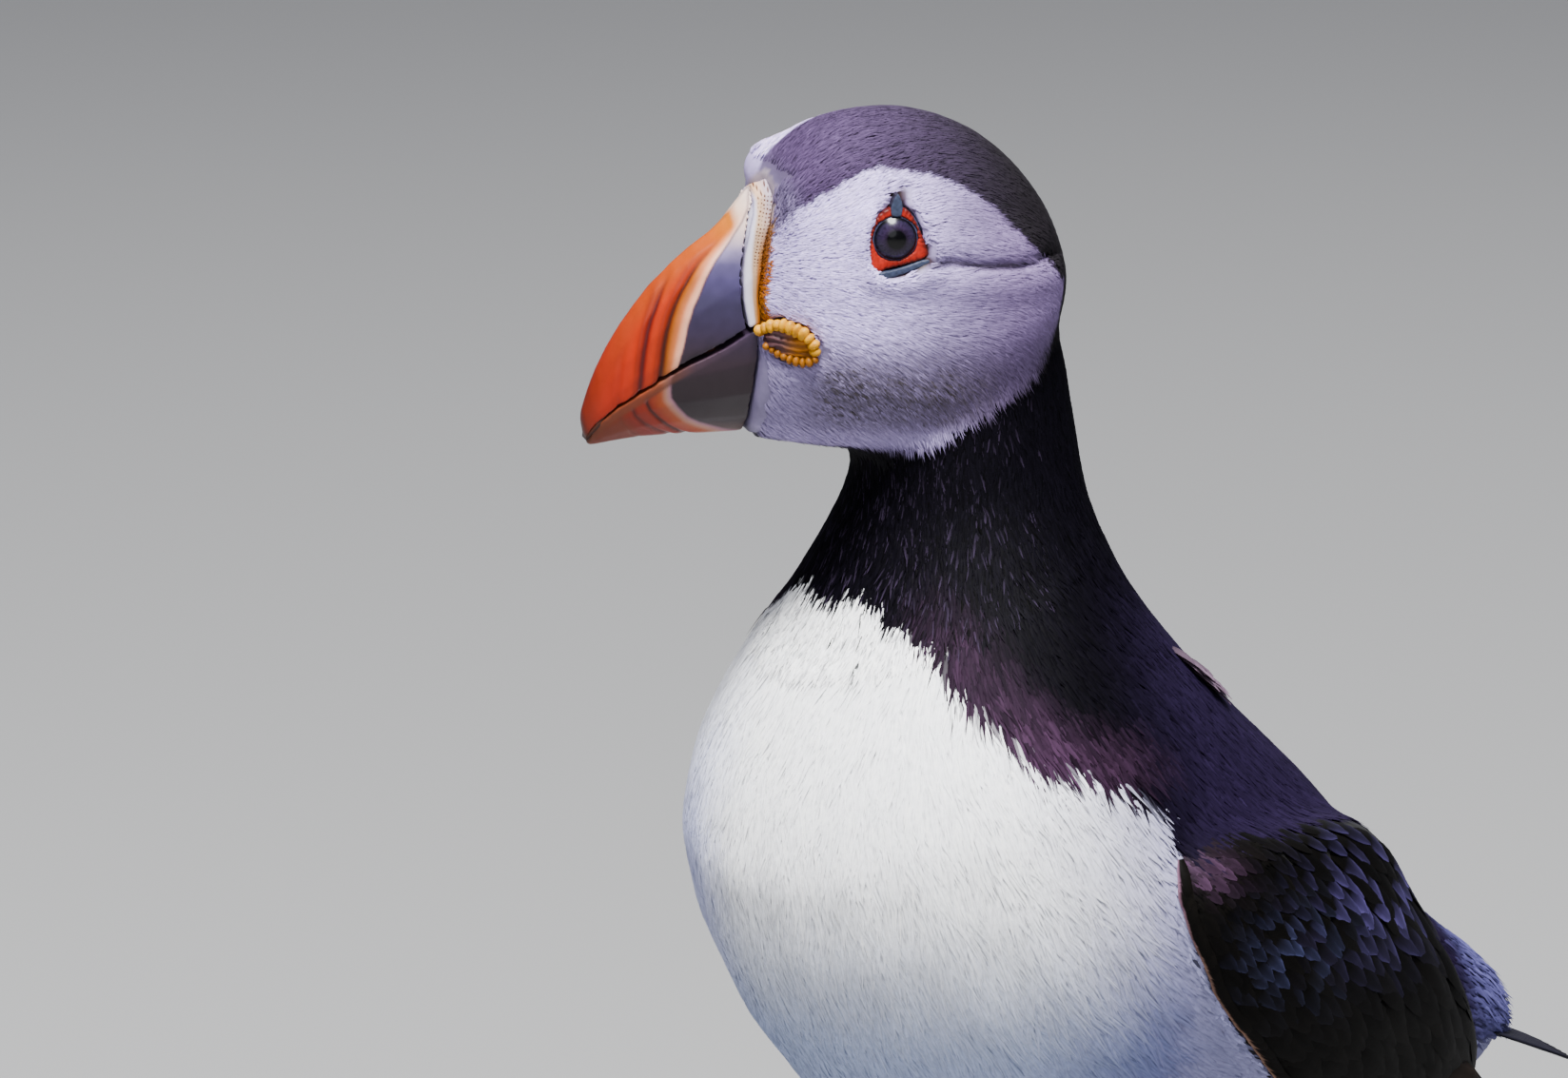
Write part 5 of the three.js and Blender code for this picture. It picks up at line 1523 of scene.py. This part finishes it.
def covert_rows():
    """Where each covert is rooted, forward and up, and its size from 0 to 1."""
    rows = []
    along, row = 7.0, 0
    while along < 92:
        size = 0.12 + 0.88 * ramp(along, 8, 66)
        across = np.arange(-60, 60, 1.6 + 1.7 * size) + (row % 2) * (0.8 + 0.85 * size)
        wobble = dice.normal(scale=0.35, size=(2, len(across)))
        marks = WRIST_START + (along + wobble[0])[:, None] * WING_FLOW
        marks = marks + (across + wobble[1])[:, None] * WING_ACROSS
        rows.append(np.c_[marks, np.full(len(across), size)])
        along += 1.7 + 2.3 * size
        row += 1
    return np.concatenate(rows)


covert_plan = covert_rows()
too_far_forward = (past_line(covert_plan[:, :2], LEADING_EDGE) > -0.6) & (covert_plan[:, 1] < 101)
covert_plan = covert_plan[~too_far_forward]
for side, sign in MIRROR:
    root, face, keep = on_wing(covert_plan[:, :2], sign)
    size = covert_plan[keep, 2]
    count = len(root)
    normal = face_normal[face]
    flow = np.array([0, *WING_FLOW]) @ BODY_AXES
    heading = turned(laid_flat(flow, normal), normal, dice.normal(scale=5, size=count))
    long = (4.8 + 8.2 * size) * dice.uniform(0.85, 1.15, count)
    wide = (1.0 + 1.25 * size) * dice.uniform(0.88, 1.12, count)
    lift = 0.4 + 0.4 * size
    places, ups = [root - normal * 0.3 * MM], [normal]
    point, up = root, normal
    for m in range(1, STATIONS):
        heading = laid_flat(heading, up)
        straight = point + heading * (long / (STATIONS - 1) * MM)[:, None]
        nearest, near_face = settle(straight)
        free = np.linalg.norm(nearest - straight, axis=1) > 1.2 * MM  # past the edge a vane runs straight on
        point = np.where(free[:, None], straight, nearest)
        up = np.where(free[:, None], up, unit(face_normal[near_face] * 0.5 + up * 0.5))
        share = m / (STATIONS - 1)
        places.append(point + up * (lift * share**0.7 * MM)[:, None])
        ups.append(up)
    places, ups = np.stack(places, axis=1), np.stack(ups, axis=1)
    widths = wide[:, None] * OUTLINE_OF_VANE * MM
    marks = to_body(root)[:, 1:]
    base = np.minimum(plumage(root, np.full(count, "wing")), WRIST)
    base = base * (1 + 0.25 * dice.normal(size=(count, 1)))
    # painted shade and light: each covert darkens towards its root, under the row before it, and lightens to
    # its tip
    paint = base[:, None, :] * np.array([0.6, 0.7, 0.85, 1, 1.15, 1.3])[None, :, None]
    rims = paint * 1.2
    # painted glints: the chosen coverts get violet or blue light on their rims and tips
    for code, middle, spread, often in TIP_GLINTS:
        strength = near(marks, middle, spread) * (dice.random(count) < often) * dice.uniform(0.4, 1, count)
        for m, share in ((3, 0.35), (4, 0.75), (5, 1.0)):
            rims[:, m] = blend_colours(rims[:, m], paint_colour(code), strength * share)
            paint[:, m] = blend_colours(paint[:, m], paint_colour(code) * 0.45, strength * share)
    vanes(f"coverts_{side}", "wing_feather", "wing_feather_coat", places, ups, widths, paint,
          spots=unwrap(root, face_part[face]), rims=(rims, rims))
print("coverts laid in rows over both wings")

# %% Feathers along the wing's front edge
def wing_edge(side, sign):
    """Small feathers that lap along the front edge of the folded wing, each with a worn, pale rim."""
    line = smooth_line(LEADING_EDGE, 64)
    inward = np.gradient(line, axis=0)
    inward = unit(np.c_[-inward[:, 1], inward[:, 0]])
    inward *= np.sign(-inward[:, :1])
    root, face, keep = on_wing(line + 0.7 * inward, sign)
    count, normal = len(root), face_normal[face]
    flow = np.gradient(line, axis=0)[keep]
    heading = laid_flat(unit(np.c_[np.zeros(count), flow] @ BODY_AXES), normal)
    long = 6.0 * dice.uniform(0.9, 1.1, count)
    share = np.linspace(0, 1, STATIONS)
    places = root[:, None, :] + heading[:, None, :] * (long[:, None] * share * MM)[..., None]
    settled, faces = settle(places.reshape(-1, 3))
    ups = face_normal[faces].reshape(places.shape)
    places = settled.reshape(places.shape) + ups * ((0.35 + 0.45 * share) * MM)[None, :, None]
    widths = 1.15 * dice.uniform(0.9, 1.1, (count, 1)) * OUTLINE_OF_VANE * MM
    tone = WING_BROWN * (1.4 + 0.3 * dice.normal(size=(count, 1)))
    paint = np.repeat(tone[:, None, :], STATIONS, axis=1)
    fade = stops(np.arange(len(line))[keep], [(0, "84607a"), (12, "806256"), (len(line), "78624f")])
    rims = np.repeat(fade[:, None, :], STATIONS, axis=1) * (1 + 0.15 * dice.normal(size=(count, 1, 1)))
    outward = unit(np.c_[np.zeros(count), -inward[keep]] @ BODY_AXES)
    first_is_outer = (np.cross(normal, heading) * outward).sum() > 0
    vanes(f"wing_edge_{side}", "wing_feather", "wing_feather_coat", places, ups, widths, paint, arch=0.3,
          spots=unwrap(root, face_part[face]), rims=(rims, paint) if first_is_outer else (paint, rims))


for side, sign in MIRROR:
    wing_edge(side, sign)

# %% Ruffled feathers at the shoulder
def ruffled_feathers():
    """A few soft grey-pink feathers of the shoulder that the wind has turned up."""
    count = 24
    marks = np.c_[np.linspace(21, 18, count), np.linspace(-25, -32, count), np.linspace(127, 120, count)]
    root, face = settle(from_body(marks + dice.normal(scale=0.7, size=(count, 3))))
    normal = face_normal[face]
    flow = unit(np.array([0.45, -0.7, -0.35])) @ BODY_AXES
    heading = turned(laid_flat(flow, normal), normal, dice.normal(scale=7, size=count))
    share = np.linspace(0, 1, STATIONS)[None, :, None]
    long = dice.uniform(5.5, 7.5, (count, 1, 1)) * MM
    high = dice.uniform(1.6, 2.6, (count, 1, 1)) * MM
    places = root[:, None] + heading[:, None] * long * share
    places = places + normal[:, None] * (high * np.sin(share * 1.5) - 0.3 * MM)
    ups = unit(normal[:, None] - heading[:, None] * np.cos(share * 1.5) * 0.4)
    widths = dice.uniform(1.0, 1.5, (count, 1)) * OUTLINE_OF_VANE * MM
    tone = paint_colour("5c4a5a") * (1 + 0.15 * dice.normal(size=(count, 1)))
    # painted shade and light: each feather is dark at its root and lighter towards its tip
    paint = tone[:, None, :] * np.array([0.3, 0.5, 0.8, 1, 1.1, 1.15])[None, :, None]
    vanes("ruffled_feathers", "black_feather", "white_feather_coat", places, ups, widths, paint, arch=0.25,
          spots=unwrap(root, face_part[face]))


ruffled_feathers()

# %% [markdown]
# ## Flight feathers
# The long feathers of the folded wing are stacked like a closed fan. The longest lies lowest and ends
# last. Each of the others lies on the one below and stops a little short of it.

# %% Closed fans of flight feathers
QUILLS, QUILL_STATIONS, SPINE_STEPS = 8, 9, 60
QUILL_PATH = [  # left, forward, up
    (36.5, -56, 58.5), (30.5, -76, 50), (25, -91, 42.5), (19.5, -104, 36.5), (14.5, -117, 31.5),
]
QUILL_SPREAD = [8, 8.5, 7, 4.6, 1.2]
QUILL_OUTLINE = np.array([0.8, 0.9, 1, 1, 1, 0.95, 0.85, 0.6, 0.12])


def quill_fan(sign):
    spine = smooth_line(QUILL_PATH, SPINE_STEPS)
    spread = np.interp(np.linspace(0, 4, SPINE_STEPS), range(5), QUILL_SPREAD)
    along = unit(np.gradient(spine, axis=0))
    outward = unit(np.cross(along, np.cross([1, 0, 0.25], along)))
    upward = np.cross(outward, along)
    upward *= np.sign(upward[:, 2:])
    places, ups, tones = [], [], []
    for k in range(QUILLS):
        at = (np.linspace(0, 1 - 0.072 * k, QUILL_STATIONS) * (SPINE_STEPS - 1)).astype(int)
        level = -0.6 + 1.1 * k / (QUILLS - 1)
        raised = upward[at] * (spread[at] * level)[:, None]
        places.append(spine[at] + raised + outward[at] * (-0.9 + 0.26 * k))
        ups.append(outward[at])
        tone = paint_colour("17120f") * (1 + 0.25 * dice.normal())
        # painted shade and light: each flight feather is darker at its root and lighter towards its tip
        tones.append(tone * np.linspace(0.9, 1.4, QUILL_STATIONS)[:, None])
    mirror = np.array([sign, 1, 1])
    places = from_body(np.array(places) * mirror)
    ups = (np.array(ups) * mirror) @ BODY_AXES
    return places, ups, np.tile(3.0 * QUILL_OUTLINE, (QUILLS, 1)) * MM, np.array(tones)


for side, sign in MIRROR:
    places, ups, widths, tones = quill_fan(sign)
    piece = vanes(f"flight_feathers_{side}", "wing_feather", "wing_feather_coat", places, ups, widths, tones,
                  arch=0.1, thick=0.3 * MM, spots=unwrap(places[:, 0], np.full(len(places), "wing")))
    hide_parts(f"primaries_{side}")

# %% [markdown]
# ## The tail
# A short fan of stiff, round-ended feathers. One feather is built, and geometry nodes set copies of it
# side by side, each turned a little more than the last and tucked under its neighbour.

# %% The tail fan
def fan_tree(name, material):
    tree, given, keys = new_tree(name, "Fan", {
        "Feather": "Geometry", "Count": "Int", "Turn": "Float", "Step": "Vector",
    })

    def maths(kind, *values):
        return put(tree, "ShaderNodeMath", dict(enumerate(values)), operation=kind), "Value"

    points = put(tree, "GeometryNodeMeshLine", {"Offset": (0, 0, 0), "Count": (given, "Count")})
    index = put(tree, "GeometryNodeInputIndex")
    middle = maths("MULTIPLY", maths("SUBTRACT", (given, "Count"), 1), 0.5)
    place = maths("SUBTRACT", (index, "Index"), middle)
    away = maths("ABSOLUTE", place)
    step = put(tree, "ShaderNodeSeparateXYZ", {"Vector": (given, "Step")})
    ways = {"X": place, "Y": away, "Z": away}
    shifts = {axis: maths("MULTIPLY", along, (step, axis)) for axis, along in ways.items()}
    shift = put(tree, "ShaderNodeCombineXYZ", shifts)
    turn = put(tree, "ShaderNodeCombineXYZ", {"Z": maths("MULTIPLY", place, (given, "Turn"))})
    inputs = {"Geometry": (points, "Mesh"), "Position": (shift, "Vector")}
    spread = put(tree, "GeometryNodeSetPosition", inputs)
    laid = put(tree, "GeometryNodeInstanceOnPoints", {
        "Points": (spread, "Geometry"), "Instance": (given, "Feather"), "Rotation": (turn, "Vector"),
    })
    close_tree(tree, laid, material)
    return tree, keys


TAIL_LENGTH, TAIL_HALF_WIDTH, TAIL_FEATHERS = 30.0, 3.6, 13
TAIL_ROOT = np.array([0, -90.0, 57.6])  # left, forward, up
TAIL_SLOPE = math.radians(-20)
TAIL_OUTLINE = np.array([[0.5, 0.7, 0.85, 0.95, 1, 1, 0.95, 0.75, 0.2]])


def one_tail_feather():
    """Lies along the second axis with its root at the origin."""
    stations = TAIL_OUTLINE.shape[1]
    reach = np.linspace(0, 1, stations)
    line = np.c_[np.zeros(stations), reach * TAIL_LENGTH * MM, -0.8 * reach**2 * MM][None]
    # painted shade and light: the tail feather is darker at its root and lighter towards its tip
    tones = paint_colour("14131b") * np.linspace(0.8, 1.5, stations)[None, :, None]
    return vanes("tail_feather", "black_feather", None, line, np.tile(UP, (1, stations, 1)),
                 TAIL_HALF_WIDTH * TAIL_OUTLINE * MM, tones, arch=0.12, thick=0.35 * MM)


fan = fan_tree("fan_of_feathers", MATERIALS["wing_feather_coat"])
tail = run_tree(one_tail_feather(), "tail_feathers", fan, {
    "Count": TAIL_FEATHERS, "Turn": math.radians(-3.4), "Step": [1.15 * MM, -0.55 * MM, -0.16 * MM],
})
flat_tail = corners_of(tail)
rise, run = math.sin(TAIL_SLOPE), math.cos(TAIL_SLOPE)
tilt = np.array([[1, 0, 0], [0, run, rise], [0, -rise, run]])
set_corners(tail, from_body(TAIL_ROOT) + flat_tail @ tilt)
each = len(flat_tail) // TAIL_FEATHERS  # corners in one feather
first_feather = flat_tail[:each, :2]
flat_feather = (first_feather - first_feather.mean(axis=0)) / np.ptp(first_feather, axis=0)
tail_spots = unwrap(corners_of(tail)[::each], np.full(TAIL_FEATHERS, "rump"))
corner_of_loop = read_from(tail.data.loops, "vertex_index", 1, np.int32).ravel()
map_patches(tail, tail_spots, flat_feather, corner_of_loop)
finish_piece(tail, "black_feather", "wing_feather_coat", "tail")
print("tail:", TAIL_FEATHERS, "feathers")

# %% [markdown]
# ## Feet
# The legs are bare and orange. Plates of horn run down the front of the shank and along the top of each
# toe, and each toe ends in a strong black claw. The plates are beads again, pressed flat.

# %% Plates on the legs and toes
LEG_LEFT, HEEL_BACK = 21.0, 19.0
SPLAY = 12  # both feet are turned out by this many degrees
# each toe's length, turn and half-width
TOE_PLAN = {"inner": (28, -24, 2.1), "middle": (36, 2, 2.3), "outer": (34, 27, 2.1)}
SHANK_LINE = [(21, -17.6, 26), (21, -18.3, 20), (21, -16.6, 13), (21.2, -14.4, 7.5)]
plates = bead_tree("plates_on_a_toe", MATERIALS["flesh"])
rows = {}  # line, size of a plate, spacing
for toe, (length, turn, half) in TOE_PLAN.items():
    angle = math.radians(turn + SPLAY)
    share = np.linspace(0.12, 0.93, 30)
    left = LEG_LEFT + math.sin(angle) * length * share
    forward = -HEEL_BACK + math.cos(angle) * length * share
    top = 2.5 - 0.9 * share + 3.2 * (1 - 0.35 * share) * 0.94
    rows[toe] = np.c_[left, forward, top], (1.25, half * 1.45, 0.8), 1.15
rows["shank"] = smooth_line(SHANK_LINE, 24), (1.5, 0.9, 3.4), 1.35
for side, sign in MIRROR:
    for name, (line, size, spacing) in rows.items():
        place = from_body(line * [sign, 1, 1])
        row = bead_row(f"plates_{name}_{side}", place, plates, spacing, size, 0.06, 2)
        mark(row, "paint", np.tile(paint_colour("e45400"), (len(row.data.vertices), 1)))
        finish_piece(row, "orange_foot", "flesh")
MATERIALS["claw"] = horn_material("claw", roughness=0.3, coat=0.4)
for side in SIDES:
    for toe in TOE_PLAN:
        claw = cast(f"claw_horn_{side}_{toe}", [f"claw_{side}_{toe}"], 0.25 * MM, 0.0, 5)
        mark(claw, "paint", np.tile(paint_colour("1a1614"), (len(claw.data.vertices), 1)))
        finish_piece(claw, "black_claw", "claw", f"claw_{side}_{toe}")
print("plates and claws on both feet")

# %% [markdown]
# ## A plain studio
# A pale floor and a few wide soft lights. The camera stands well off and looks a little down.

# %% Floor, lights and camera
def soft_light(name, place, aim, size, power, colour=(1, 1, 1)):
    lamp = bpy.data.lights.new(name, "AREA")
    lamp.shape = "DISK"
    lamp.size = size
    lamp.energy = power
    lamp.color = colour
    holder = new_object(name, lamp)
    holder.location = place
    holder.rotation_euler = (Vector(aim) - Vector(place)).to_track_quat("-Z", "Y").to_euler()
    holder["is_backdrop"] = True


FLOOR_HALF = 3.0
floor_corners = np.array([(-1, -1, 0), (1, -1, 0), (1, 1, 0), (-1, 1, 0)]) * FLOOR_HALF
floor = make_mesh("floor", floor_corners, [(0, 1, 2, 3)], smooth=False)
floor_material, _, _ = new_material("floor", {"Base Color": (0.27, 0.27, 0.27, 1), "Roughness": 0.8})
floor.data.materials.append(floor_material)
floor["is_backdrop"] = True

world = bpy.data.worlds.new("studio")
world.use_nodes = True
sky = {"Color": (0.74, 0.78, 1.0, 1), "Strength": 0.27}
feed(world.node_tree, world.node_tree.nodes["Background"], sky)
bpy.context.scene.world = world
CHEST = (0, -0.04, 0.13)
soft_light("key", (0.37, -0.3, 1.3), CHEST, 0.55, 66, (1, 1, 0.99))
soft_light("fill", (1.3, -0.9, 0.7), CHEST, 1.0, 5, (0.92, 0.94, 1))
soft_light("rim", (-0.7, 0.5, 0.9), CHEST, 0.8, 5)

LOOK_WAY = np.array([0.8203, -0.5327, 0.2079])  # from the bird towards the camera
LOOK_AT = HEAD_ORIGIN + np.array([-39.8, 9.75, -62.5]) * MM
LOOK_FROM_METRES = 2.861
lens = bpy.data.cameras.new("camera")
lens.lens = 400
lens.sensor_width = 36
lens.clip_end = 50
camera = new_object("camera", lens)
camera.location = LOOK_AT + LOOK_WAY * LOOK_FROM_METRES
camera.rotation_euler = Vector(-LOOK_WAY).to_track_quat("-Z", "Y").to_euler()
bpy.context.scene.camera = camera

size = {"cad": [list(CAD_LOW), list(CAD_HIGH)], "visual": [list(v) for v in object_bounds()]}
print("visual box, mm:", [round(v / MM, 1) for v in np.array(size["visual"]).ravel()])
print("solid box, mm: ", [round(v / MM, 1) for v in np.array(size["cad"]).ravel()])
